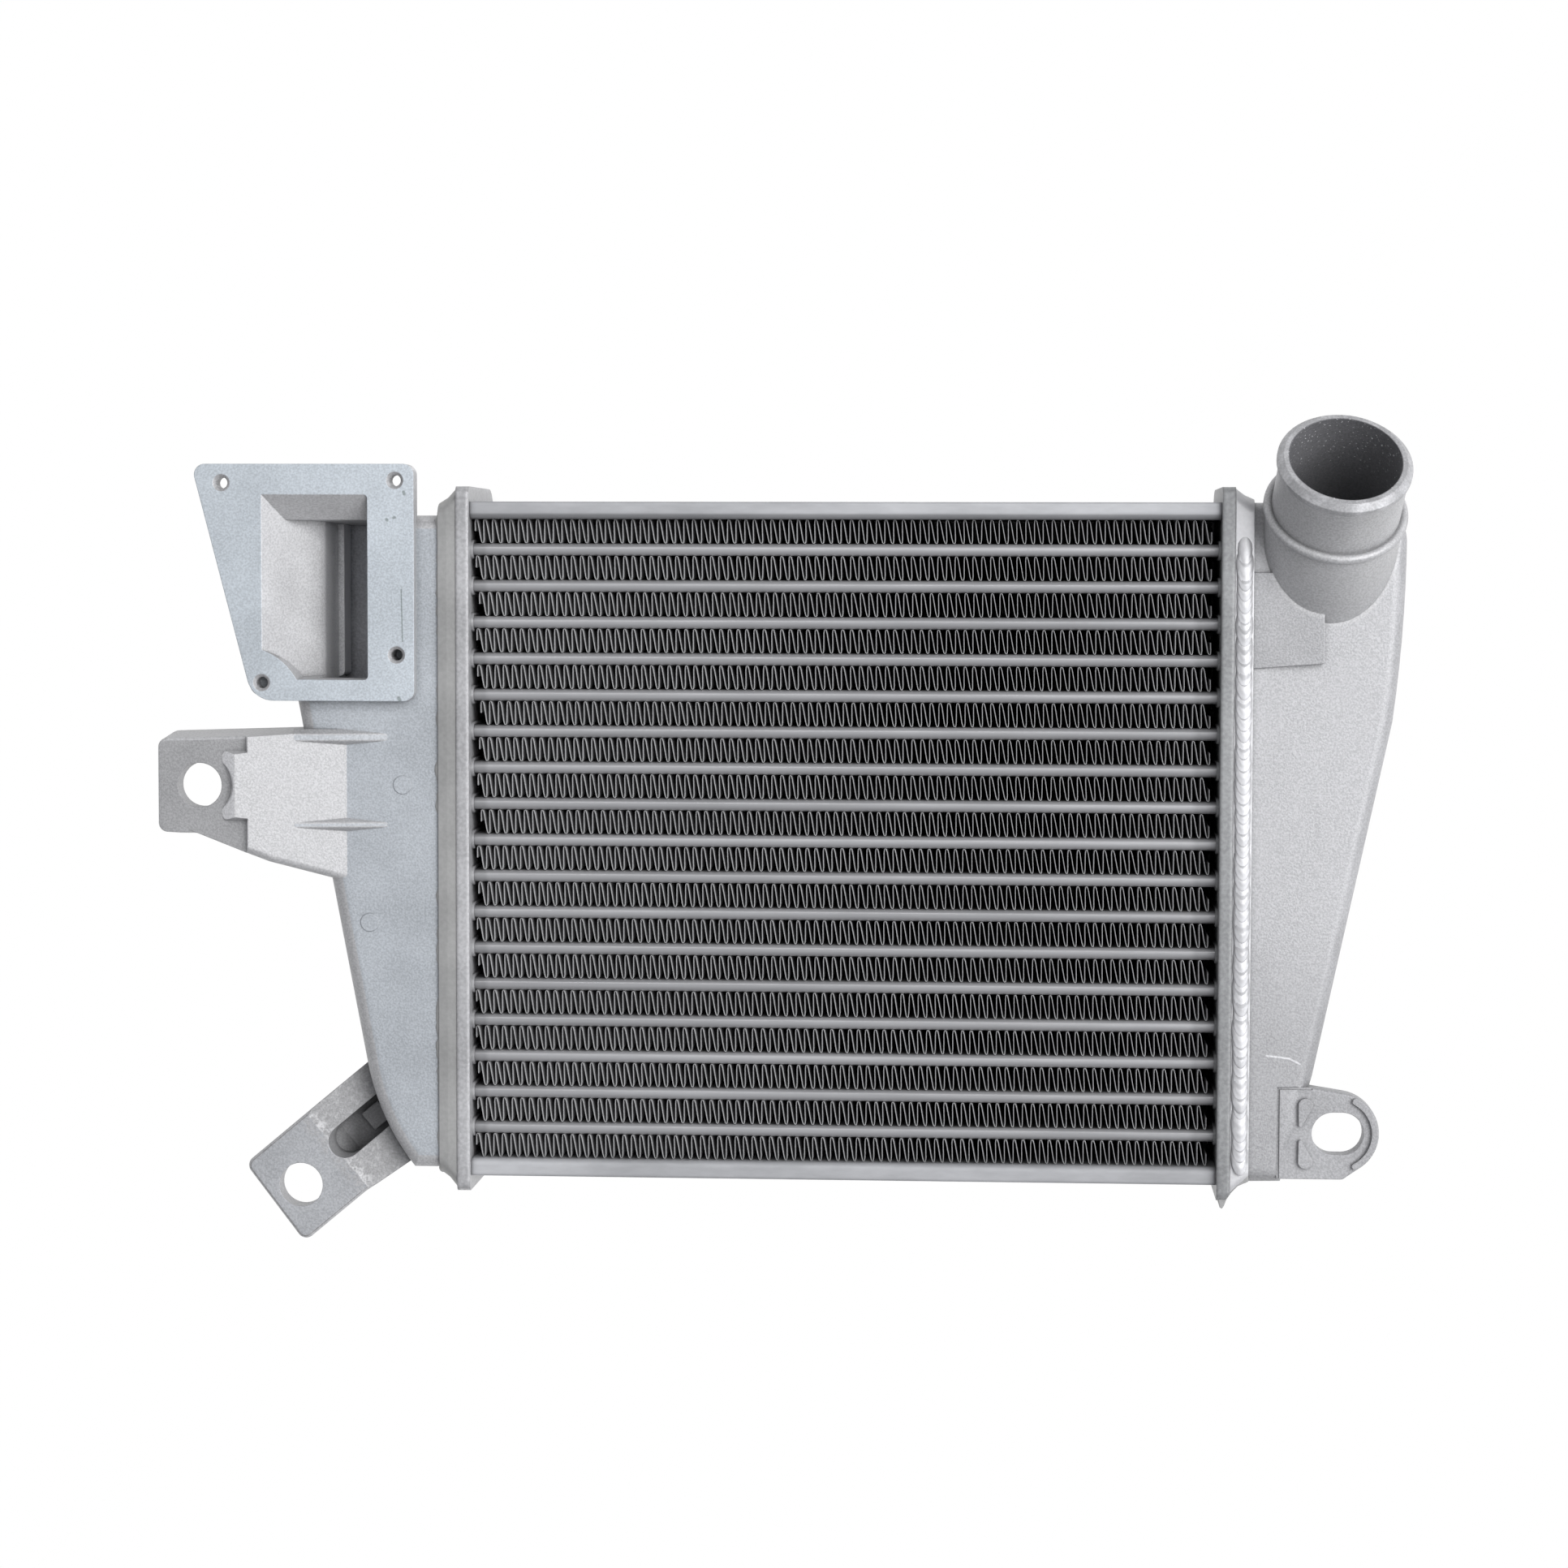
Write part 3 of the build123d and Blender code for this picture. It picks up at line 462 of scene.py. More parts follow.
def left_zones(tree, place):
    """The tint of the left tank, and where its grain is calm."""
    zone, axes = zone_masks(tree, place, LEFT_ZONES)
    across, deep = axes["across"], axes["deep"]
    screw_edges = all_marks(tree, place, [(spot, spot, SCREW_WIDTH) for spot in screws])
    nicks = all_marks(tree, place, FLANGE_NICKS)
    # A blotchy noise picks the painted glints on the lug's crease and mottles the painted shade on
    # its web.
    blotch = {"Vector": place, "Scale": 0.55, "Detail": 5.0}
    blotch = node(tree, "ShaderNodeTexNoise", blotch).outputs[0]
    crease_glints = ramp(tree, blotch, 0.38, 0.60)
    # Painted sheen on the milled face, brighter to the right.
    painted_sheen = ramp(tree, across, -225, -150, 0.955, 1.05)
    # Painted light on the duct's ramp, strongest deep down.
    duct_light = ramp(tree, deep, 30.0, 64.0, 1.95, 1.35)
    # Painted shade in the lug's pocket, darker to the right.
    pocket_shade = ramp(tree, across, -193.0, -185.0, 0.75, 0.33)
    shaded_web = blend_colour(tree, ramp(tree, blotch, 0.48, 0.66), grey(0.545), grey(0.665))
    coats = (
        # Painted reflection: level faces and the milled face take a bluish tint.
        (zone["level"], (0.93, 0.985, 1.03, 1)),
        (zone["milled"], vectors(tree, "SCALE", (1.10, 1.19, 1.25), scale=painted_sheen)),
        (zone["slope"], grey(0.95)),
        (zone["seat"], grey(0.74)),
        # Painted light in the duct and on the arm's tongue, where little light reaches.
        (zone["inside"], (1.22, 1.24, 1.28, 1)),
        (zone["tongue"], grey(1.75)),
        (zone["ceiling"], grey(1.03)),
        (zone["wall"], grey(2.0)),
        (zone["under"], grey(2.6)),
        (zone["ledge"], grey(2.1)),
        (zone["ramp"], joined(tree, duct_light, duct_light, duct_light)),
        (zone["lug_seat"], (0.89, 0.91, 0.93, 1)),
        # Painted shade on the lug's web and in its pocket, and painted glints on its crease.
        (zone["web"], shaded_web),
        (both(tree, mark(tree, place, *LUG_CREASE), zone["lug"], crease_glints), grey(0.95)),
        (zone["pocket"], joined(tree, pocket_shade, pocket_shade, pocket_shade)),
        # Painted shade in the flange's screw countersinks.
        (both(tree, screw_edges, zone["screw_edge"]), grey(0.85)),
        (both(tree, nicks, zone["milled"]), (0.62, 0.70, 0.70, 1)),
    )
    return coated(tree, coats), zone["milled"]


cast = {"patch": 0.06, "speckle": 0.13}
cast_left = metal("cast_left", (0.48, 0.48, 0.488), 0.50, 0.75, 0.10, zones=left_zones, **cast)

# %% [markdown]
# ## The right tank's zones
# The pipe's bore is painted dark as the shade inside it, with small bright flecks.
# The bore is found by its distance from the pipe's axis, which the part's record
# states.

# %% Right tank
pipe = next(m for m in frame["record"]["mounts"] if m["name"] == "pipe_bore")
pipe_axis = Vector(pipe["axis"]).normalized()
pipe_middle = (Vector(pipe["pos_m"]) - HOME) / MM
pipe_radius = pipe["dims"]["r_mm"]
PIPE_WALL = (25.6, 26.6)
PIPE_FOOT = (-32, -28)
LIP_EDGE = (24.8, 25.4)
SCRATCH = (
    ((156.6, -77.5), (165.0, -78.6), 0.5),
    ((165.0, -78.6), (168.8, -80.6), 0.5),
)
RIGHT_ZONES = {
    "low": (("up", -20, -80),),
    "lug": (("up", -88.8, -89.4), ("across", 160.7, 161.1)),
}


def right_zones(tree, place):
    """The tint of the right tank, and where its grain is calm."""
    zone, _ = zone_masks(tree, place, RIGHT_ZONES)
    from_middle = vectors(tree, "SUBTRACT", place, pipe_middle)
    off_axis = vectors(tree, "LENGTH", vectors(tree, "CROSS_PRODUCT", from_middle, pipe_axis))
    along = vectors(tree, "DOT_PRODUCT", from_middle, pipe_axis)
    bore = ramp(tree, off_axis, pipe_radius + 0.15, pipe_radius + 0.4, 1.0, 0.0)
    outer = ramp(tree, off_axis, pipe_radius + 0.2, pipe_radius + 0.5)
    wall = both(tree, ramp(tree, off_axis, *PIPE_WALL, 1.0, 0.0), ramp(tree, along, *PIPE_FOOT))
    lip = both(tree, ramp(tree, along, *LIP_EDGE), outer)
    flecks = {"Vector": place, "Scale": 1.1, "Detail": 2.0}
    flecks = node(tree, "ShaderNodeTexNoise", flecks).outputs[0]
    shine = both(tree, ramp(tree, flecks, 0.64, 0.72), ramp(tree, along, -5, 28))
    worn = {"Vector": place, "Scale": 0.16, "Detail": 3.0}
    worn = node(tree, "ShaderNodeTexNoise", worn).outputs[0]
    coats = (
        (1.0, grey(0.86)),
        (zone["low"], grey(0.71)),
        (zone["lug"], grey(0.83)),
        (all_marks(tree, place, SCRATCH), grey(1.2)),
        (wall, (1.01, 1.01, 1.0, 1)),
        (lip, blend_colour(tree, ramp(tree, worn, 0.40, 0.65), grey(0.80), grey(1.02))),
        # Painted shade inside the pipe's bore, with small bright flecks.
        (bore, blend_colour(tree, shine, (0.43, 0.43, 0.44, 1), grey(1.8))),
    )
    return coated(tree, coats), maths(tree, "MULTIPLY", wall, 0.6)


cast_right = metal("cast_right", (0.515, 0.515, 0.528), 0.50, 0.75, 0.10, zones=right_zones, **cast)

# %% [markdown]
# ## Sheet, weld and fins
# The tubes and plates are rolled, so their grain is drawn out along the core.
# The right weld is the brightest metal, from a painted highlight along the lower
# rim of each drop, and the left weld's grey is set darker as painted shade. Fin
# sheet is thin, given a dark grey, and deep in shade.

# %% Zones of the sheet and the weld
HOOD_MARKS = (104, 112)
HOOD_TONE = 1.15
plate_foot = (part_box("top_side_plate")[0].y - HOME.y) / MM
TUBE_ZONES = {
    "right_end": (("across", 127.5, 131.0),),
    "left_end": (("across", -131.5, -134.0),),
}
PLATE_ZONES = {
    "rolled": (("up", plate_foot - 1.0, plate_foot), ("up", plate_foot + 2.4, plate_foot + 1.4)),
    "front": (("up", plate_foot + 2.4, plate_foot + 3.2),),
}


def ripple_zones(tree, place):
    """Each drop of weld gets a painted highlight along its lower rim and is grey above it; under
    the hood it is an even grey.
    """
    hood = ramp(tree, split(tree, place)["Y"], *HOOD_MARKS)
    rim = node(tree, "ShaderNodeAttribute", attribute_name="rim").outputs["Fac"]
    level = ramp(tree, rim, 0.10, 0.90, 1.30, 2.05)
    up_to_hood = maths(tree, "SUBTRACT", HOOD_TONE, level)
    level = maths(tree, "MULTIPLY_ADD", hood, up_to_hood, level)
    return joined(tree, level, level, level), 0.0


def tube_zones(tree, place):
    """The tubes are painted darker near the headers, as shade."""
    zone, _ = zone_masks(tree, place, TUBE_ZONES)
    near_header = maths(tree, "MAXIMUM", zone["right_end"], zone["left_end"])
    return blend_colour(tree, near_header, WHITE, grey(0.80)), 0.0


def plate_zones(tree, place):
    """The top plate's lower edge is rolled under and painted darker as shade, and the band above it
    is painted a little lighter.
    """
    zone, _ = zone_masks(tree, place, PLATE_ZONES)
    return coated(tree, ((zone["rolled"], grey(0.56)), (zone["front"], grey(1.06)))), 0.0


print("plate's foot at", round(plate_foot, 1), "mm")

# %% The rest of the metals
pale = (0.46, 0.46, 0.47)
plate_grey = (0.47, 0.475, 0.49)
right_header_grey = (0.325, 0.33, 0.335)
# The left weld's grey is set darker than the right weld's, as painted shade.
left_weld_shaded_grey = (0.39, 0.39, 0.385)
fin_grey = (0.35, 0.35, 0.355)
header = {"patch": 0.08, "speckle": 0.12, "edge": 1.8}
tube_finish = {"stretch": (0.1, 1, 1), "metallic": 0.6, "zones": tube_zones}
plate_finish = {"patch": 0.14, "stretch": (0.3, 1, 1), "edge": 1.8, "zones": plate_zones}
weld_finish = {"patch": 0.08, "metallic": 0.35, "zones": ripple_zones}

left_header_metal = metal("left_header_metal", pale, 0.42, 1.3, 0.06, **header)
right_header_metal = metal("right_header_metal", right_header_grey, 0.42, 1.3, 0.06, **header)
left_weld = metal("left_weld", left_weld_shaded_grey, 0.48, 1.6, 0.06, patch=0.08, speckle=0.05)
right_weld = metal("right_weld", pale, 0.42, 1.6, 0.05, **weld_finish)
tube_metal = metal("tube_metal", pale, 0.32, 2.0, 0.015, **tube_finish)
plate_metal = metal("plate_metal", plate_grey, 0.40, 2.0, 0.04, **plate_finish)
fin_metal = metal("fin_metal", fin_grey, 0.55, 1.0, 0.02)

# %% Metals on the CAD bodies
finishes = {
    "left_tank": cast_left,
    "right_tank": cast_right,
    "left_header": left_header_metal,
    "right_header": right_header_metal,
    "left_weld_bead": left_weld,
    "right_weld_bead": right_weld,
    "top_side_plate": plate_metal,
    "bottom_side_plate": plate_metal,
}
for name, piece in nodes.items():
    finish = finishes.get(name, tube_metal if name.startswith("tube") else fin_metal)
    for slot in piece.material_slots:
        slot.material = finish
    if not piece.material_slots:
        piece.data.materials.append(finish)

# %% [markdown]
# ## Shapes by Geometry Nodes
# What repeats is grown by a tree with named inputs. Each tree ends the same way:
# its instances are made real and painted, because the export keeps only plain
# meshes. A tree is run once on an empty object, and its result is kept.

# %% Starting, ending and running a tree


def geometry_tree(name, inputs):
    """A new tree, its input values, and the identifiers of its inputs."""
    tree = bpy.data.node_groups.new(name, "GeometryNodeTree")
    tree.interface.new_socket("Geometry", in_out="OUTPUT", socket_type="NodeSocketGeometry")
    identifiers = {}
    for label, (kind, default) in inputs.items():
        kind = "NodeSocket" + kind
        item = tree.interface.new_socket(label, in_out="INPUT", socket_type=kind)
        if default is not None:
            item.default_value = default
        identifiers[label] = item.identifier
    return tree, tree.nodes.new("NodeGroupInput").outputs, identifiers


def end_tree(tree, geometry, material, smooth):
    """Makes instances real, smooths them if asked, paints them and ends the tree."""
    shape = node(tree, "GeometryNodeRealizeInstances", {"Geometry": geometry})
    if smooth:
        shape = node(tree, "GeometryNodeSetShadeSmooth", {"Geometry": shape.outputs[0]})
    painting = {"Geometry": shape.outputs[0], "Material": material}
    painted = node(tree, "GeometryNodeSetMaterial", painting)
    result = tree.nodes.new("NodeGroupOutput")
    tree.links.new(painted.outputs[0], result.inputs[0])


def grow(name, tree, identifiers, values):
    """Runs a tree once and keeps the result as a plain mesh."""
    holder = bpy.data.objects.new(name + "_maker", bpy.data.meshes.new(name + "_maker"))
    bpy.context.scene.collection.objects.link(holder)
    modifier = holder.modifiers.new("maker", "NODES")
    modifier.node_group = tree
    for label, value in values.items():
        modifier[identifiers[label]] = value
    made = holder.evaluated_get(bpy.context.evaluated_depsgraph_get())
    mesh = bpy.data.meshes.new_from_object(made)
    mesh.name = name
    piece = bpy.data.objects.new(name, mesh)
    bpy.context.scene.collection.objects.link(piece)
    bpy.data.objects.remove(holder)
    return piece


# %% [markdown]
# ## Fins at their true pitch
# A real fin row is one thin sheet folded to and fro every 3 mm or so. The CAD
# rows have far fewer folds, to stay light, so each gets a finer stand-in here.
# Geometry Nodes suit it: a line of points is bent into the wave by one formula,
# and the sheet's section is swept along it. Noise leans the folds, because the
# sheet is fed between the tubes by hand.

# %% Folded sheet
FIN_PITCH = 3.24
FOLD_STEPS = 14
FOLD_SHARPNESS = 1.7
LEAN_NOISE = {"Scale": 60.0, "Detail": 3.0}
PLACE_NOISE = {"Scale": 160.0, "Detail": 2.0}

folds, given, FOLD_INPUTS = geometry_tree(
    "folded_sheet",
    {
        "Waves": ("Int", 83),
        "Pitch": ("Float", FIN_PITCH * MM),
        "Height": ("Float", 8.9 * MM),
        "Depth": ("Float", 52 * MM),
        "Sheet": ("Float", 0.28 * MM),
        "Lean": ("Float", -0.42 * MM),
        "Wander": ("Float", 0.9 * MM),
        "Seed": ("Float", 0.0),
        "Start": ("Vector", (0, 0, 0)),
        "Material": ("Material", None),
    },
)
count = maths(folds, "MULTIPLY", given["Waves"], FOLD_STEPS)
line = node(folds, "GeometryNodeMeshLine", {"Count": maths(folds, "ADD", count, 1)})
step = node(folds, "GeometryNodeInputIndex").outputs[0]
turns = maths(folds, "DIVIDE", step, FOLD_STEPS)
along = maths(folds, "MULTIPLY", turns, given["Pitch"])

# A sine that is squared off by tanh has the fold's steep sides and round tops.
swing = maths(folds, "SINE", maths(folds, "MULTIPLY", turns, 2 * math.pi))
steep = maths(folds, "TANH", maths(folds, "MULTIPLY", swing, FOLD_SHARPNESS))
steep = maths(folds, "DIVIDE", steep, math.tanh(FOLD_SHARPNESS))
gap = maths(folds, "SUBTRACT", given["Height"], given["Sheet"])
up = maths(folds, "MULTIPLY", maths(folds, "MULTIPLY", steep, 0.5), gap)
print("folded sheet takes", len(FOLD_INPUTS), "inputs")

# %% Unevenness and the sheet's section


def noise_offset(tree, place, settings):
    """Noise about zero at a place."""
    made = node(tree, "ShaderNodeTexNoise", {"Vector": place, **settings})
    return maths(tree, "SUBTRACT", made.outputs[0], 0.5)


where = joined(folds, along, 0.0, given["Seed"])
drift = noise_offset(folds, where, LEAN_NOISE)
tilt = maths(folds, "MULTIPLY_ADD", drift, given["Wander"], given["Lean"])
slip = maths(folds, "MULTIPLY_ADD", tilt, steep, along)
shove = noise_offset(folds, where, PLACE_NOISE)
across = maths(folds, "MULTIPLY_ADD", shove, given["Wander"], slip)
spot = vectors(folds, "ADD", joined(folds, across, up, 0.0), given["Start"])
bent = node(folds, "GeometryNodeSetPosition", {"Geometry": line.outputs[0], "Position": spot})
path = node(folds, "GeometryNodeMeshToCurve", {"Mesh": bent.outputs[0]})
upright = node(folds, "GeometryNodeSetCurveNormal", {"Curve": path.outputs[0]}, mode="Z_UP")
section = {"Width": given["Sheet"], "Height": given["Depth"]}
section = node(folds, "GeometryNodeCurvePrimitiveQuadrilateral", section)
sweep = {"Curve": upright.outputs[0], "Profile Curve": section.outputs[0], "Fill Caps": True}
swept = node(folds, "GeometryNodeCurveToMesh", sweep)
end_tree(folds, swept.outputs[0], given["Material"], smooth=False)
print("folded sheet has", len(folds.nodes), "nodes")

# %% Fin rows
FIN_OVERRUN = 1.6
START_SPREAD = 2.2
END_GAP = 0.6
SEED_STEP = 1.7

noise.seed_set(7)
fin_nodes = sorted(name for name in nodes if name.startswith("fin_"))
for number, name in enumerate(fin_nodes):
    low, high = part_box(name)
    waves = round((high.x - low.x) / (FIN_PITCH * MM))
    late = (START_SPREAD * noise.random() - FIN_OVERRUN) * MM
    values = {
        "Waves": waves,
        "Pitch": (high.x - low.x - late - END_GAP * MM) / waves,
        "Height": high.y - low.y,
        "Depth": high.z - low.z,
        "Seed": number * SEED_STEP,
        "Start": Vector((low.x + late, (low.y + high.y) / 2, (low.z + high.z) / 2)),
        "Material": fin_metal,
    }
    row = grow("sheet_" + name, folds, FOLD_INPUTS, values)
    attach(row, "root")
    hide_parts(name)
print(len(fin_nodes), "rows, the last with", waves, "waves and", len(row.data.polygons), "faces")

# %% [markdown]
# ## Weld ripples
# A torch leaves a row of overlapping crescents, one for each drop of melted
# wire. On the right seam they stand out. Each is a flattened ball, tilted so
# that its lower edge lies over the next one down. The balls are set along a loop
# round the seam, so the weld runs on at the back. Under the smooth hood at the
# top they shrink away, and there are none at the foot.

# %% A loop round a seam
CORNER = 6


def seam_loop(tree, tall, deep, place, spacing):
    """A rounded rectangle across the core's end, cut into even steps.

    The outline is drawn flat and stood on end, so its width becomes the height.
    """
    outline = {"Width": tall, "Height": deep}
    outline = node(tree, "GeometryNodeCurvePrimitiveQuadrilateral", outline)
    rounding = {"Curve": outline.outputs[0], "Count": 6, "Radius": CORNER * MM}
    soft = node(tree, "GeometryNodeFilletCurve", rounding, mode="POLY")
    turned = {
        "Geometry": soft.outputs[0],
        "Rotation": (math.pi / 2, 0, math.pi / 2),
        "Translation": place,
    }
    stood = node(tree, "GeometryNodeTransform", turned)
    steps = {"Curve": stood.outputs[0], "Length": spacing}
    return node(tree, "GeometryNodeResampleCurve", steps, mode="LENGTH").outputs[0]


def random_value(tree, low, high, seed):
    """A random number for each point, with a fixed seed."""
    limits = {"Min": low, "Max": high, "Seed": seed}
    made = node(tree, "FunctionNodeRandomValue", limits, data_type="FLOAT")
    return made.outputs[1]


# %% Points for the drops
DROP_JITTER = 0.55
OUTWARD = 0.14
HOOD_FADE = 3
HOOD_FOOT = 108
RIPPLE_END = -115.5

ripples, given, RIPPLE_INPUTS = geometry_tree(
    "weld_ripples",
    {
        "Place": ("Vector", (0, 0, 0)),
        "Tall": ("Float", 256 * MM),
        "Deep": ("Float", 65 * MM),
        "Spacing": ("Float", 3.9 * MM),
        "Size": ("Vector", (8.0 * MM, 3.2 * MM, 0.9 * MM)),
        "Tilt": ("Float", math.radians(-6.5)),
        "Smooth Above": ("Float", HOOD_FOOT * MM),
        "None Below": ("Float", RIPPLE_END * MM),
        "Material": ("Material", None),
    },
)
loop = seam_loop(ripples, given["Tall"], given["Deep"], given["Place"], given["Spacing"])
dots = node(ripples, "GeometryNodeCurveToPoints", {"Curve": loop}, mode="EVALUATED")
tangent = dots.outputs["Tangent"]
position = node(ripples, "GeometryNodeInputPosition").outputs[0]
place_parts = split(ripples, position)
uneven = random_value(ripples, -DROP_JITTER * MM, DROP_JITTER * MM, 12)
along_seam = vectors(ripples, "SCALE", tangent, scale=uneven)
shift = {"Geometry": dots.outputs[0], "Offset": along_seam}
strewn = node(ripples, "GeometryNodeSetPosition", shift)
at_foot = maths(ripples, "LESS_THAN", place_parts["Y"], given["None Below"])
dropped = {"Geometry": strewn.outputs[0], "Selection": at_foot}
strewn = node(ripples, "GeometryNodeDeleteGeometry", dropped)
print("drops keep within", DROP_JITTER, "mm of even steps")

# %% One drop, its turn and its size
# The rim attribute is one along the drop's lower edge. Its metal reads it to paint a highlight
# there.
ball = {"Segments": 20, "Rings": 5, "Radius": 1.0}
ball = node(ripples, "GeometryNodeMeshUVSphere", ball)
radial = vectors(ripples, "LENGTH", joined(ripples, place_parts["X"], place_parts["Y"], 0.0))
lower = ramp(ripples, place_parts["X"], 0.25, 0.60)
rim = maths(ripples, "MULTIPLY", lower, ramp(ripples, radial, 0.55, 0.85))
store = {"Geometry": ball.outputs[0], "Name": "rim", "Value": rim}
kinds = {"data_type": "FLOAT", "domain": "POINT"}
ball = node(ripples, "GeometryNodeStoreNamedAttribute", store, **kinds)

away = vectors(ripples, "CROSS_PRODUCT", tangent, (1, 0, 0))
face_way = vectors(ripples, "ADD", away, (OUTWARD, 0, 0))
stand = node(ripples, "FunctionNodeAlignRotationToVector", {"Vector": face_way}, axis="Z")
aim = {"Rotation": stand.outputs[0], "Vector": tangent}
aim = node(ripples, "FunctionNodeAlignRotationToVector", aim, axis="X", pivot_axis="Z")
nod = maths(ripples, "MULTIPLY", given["Tilt"], random_value(ripples, 0.75, 1.3, 4))
nod = node(ripples, "FunctionNodeEulerToRotation", {0: joined(ripples, 0.0, nod, 0.0)})
turning = {"Rotation": aim.outputs[0], "Rotate By": nod.outputs[0]}
turned = node(ripples, "FunctionNodeRotateRotation", turning, rotation_space="LOCAL")

above = maths(ripples, "SUBTRACT", place_parts["Y"], given["Smooth Above"])
fade = ramp(ripples, above, 0.0, HOOD_FADE * MM, 1.0, 0.05)
swell = maths(ripples, "MULTIPLY", random_value(ripples, 0.92, 1.08, 9), fade)
placed = {
    "Points": strewn.outputs[0],
    "Instance": ball.outputs[0],
    "Rotation": turned.outputs[0],
    "Scale": vectors(ripples, "SCALE", given["Size"], scale=swell),
}
drops = node(ripples, "GeometryNodeInstanceOnPoints", placed)
end_tree(ripples, drops.outputs[0], given["Material"], smooth=True)
print("weld ripples have", len(ripples.nodes), "nodes")

# %% Ripples on the right seam
RIPPLE_INSET = 2.9
BACK_INSET = 3.3
FORWARD = 1.2

name = "right_weld_bead"
low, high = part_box(name)
values = {
    "Place": (low + high) / 2 + Vector((0, 0, FORWARD * MM)),
    "Tall": high.y - low.y - 2 * RIPPLE_INSET * MM,
    "Deep": high.z - low.z - BACK_INSET * MM,
    "Smooth Above": HOME.y + HOOD_FOOT * MM,
    "None Below": HOME.y + RIPPLE_END * MM,
    "Material": right_weld,
}
row = grow(name.replace("bead", "ripples"), ripples, RIPPLE_INPUTS, values)
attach(row, "root")
print(row.name, "faces", len(row.data.polygons))

# %% [markdown]
# ## Weld toes
# Where the melted metal meets the tank it ends in a rounded lip that wanders,
# since a hand guided the torch. The lip is a thin tube along the same kind of
# loop, pushed to and fro by noise.

# %% The lip
TOE_STEP = 1.5
TOE_NOISE = {"Scale": 150.0, "Detail": 3.0}

toes, given, TOE_INPUTS = geometry_tree(
    "weld_toe",
    {
        "Place": ("Vector", (0, 0, 0)),
        "Tall": ("Float", 250 * MM),
        "Deep": ("Float", 63 * MM),
        "Radius": ("Float", 1.2 * MM),
        "Wander": ("Float", 3 * MM),
        "Material": ("Material", None),
    },
)
loop = seam_loop(toes, given["Tall"], given["Deep"], given["Place"], TOE_STEP * MM)
position = node(toes, "GeometryNodeInputPosition").outputs[0]
shove = maths(toes, "MULTIPLY", noise_offset(toes, position, TOE_NOISE), given["Wander"])
pushing = {"Geometry": loop, "Offset": joined(toes, shove, 0.0, 0.0)}
pushed = node(toes, "GeometryNodeSetPosition", pushing)
ring = {"Resolution": 10, "Radius": given["Radius"]}
ring = node(toes, "GeometryNodeCurvePrimitiveCircle", ring)
sweep = {"Curve": pushed.outputs[0], "Profile Curve": ring.outputs[0]}
swept = node(toes, "GeometryNodeCurveToMesh", sweep)
end_tree(toes, swept.outputs[0], given["Material"], smooth=True)
print("weld toe has", len(toes.nodes), "nodes")

# %% Toes on both seams
# All in millimetres. The inset is from the bead's outer edge, and the ends are
# heights from the core's centre.
right_toe = {"radius": 0.8, "wander": 1.6, "deep": 61.2, "inset": 0.9, "ends": (-124.9, 126.4)}
left_toe = {"radius": 1.6, "wander": 6.0, "deep": 59.4, "inset": 0.8, "ends": (-124.0, 121.3)}
for name, toe in (("right_weld_bead", right_toe), ("left_weld_bead", left_toe)):
    low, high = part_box(name)
    inset = toe["inset"] * MM
    edge = high.x - inset if toe is right_toe else low.x + inset
    base, top = (HOME.y + end * MM for end in toe["ends"])
    values = {
        "Place": Vector((edge, (top + base) / 2, (low.z + high.z) / 2)),
        "Tall": top - base,
        "Deep": toe["deep"] * MM,
        "Radius": toe["radius"] * MM,
        "Wander": toe["wander"] * MM,
        "Material": left_weld,
    }
    row = grow(name.replace("bead", "toe"), toes, TOE_INPUTS, values)
    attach(row, "root")
    print(row.name, "faces", len(row.data.polygons))

# %% [markdown]
# ## Solids pulled from an outline
# Small pieces and the shapes cut from copies are made one way. An outline in
# millimetres is pulled straight to a second one, and its ends are closed. A copy
# of a CAD body with such a shape taken out then stands in for the body itself.

# %% Pulled solids


def pulled_mesh(name, near, far):
    """A closed mesh between two outlines of as many points, in millimetres."""
    count = len(near)
    points = [at(*point) for point in (*near, *far)]
    faces = [tuple(range(count)), tuple(range(count, 2 * count))]
    faces += [(n, (n + 1) % count, (n + 1) % count + count, n + count) for n in range(count)]
    mesh = bpy.data.meshes.new(name)
    mesh.from_pydata(points, [], faces)
    shape = bmesh.new()
    shape.from_mesh(mesh)
    bmesh.ops.recalc_face_normals(shape, faces=shape.faces)
    shape.to_mesh(mesh)
    shape.free()
    return mesh


def straight(outline, low, high):
    """The two ends of an outline that is pulled along the depth."""
    return [[(x, y, z) for x, y in outline] for z in (low, high)]


def pulled(name, ends, material):
    """A pulled solid that is kept as a piece of its own."""
    mesh = pulled_mesh(name, *ends)
    mesh.materials.append(material)
    piece = bpy.data.objects.new(name, mesh)
    bpy.context.scene.collection.objects.link(piece)
    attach(piece, "root")
    print(name, "faces", len(mesh.polygons))


# %% Cut copies
SMOOTH_BELOW = math.radians(32)


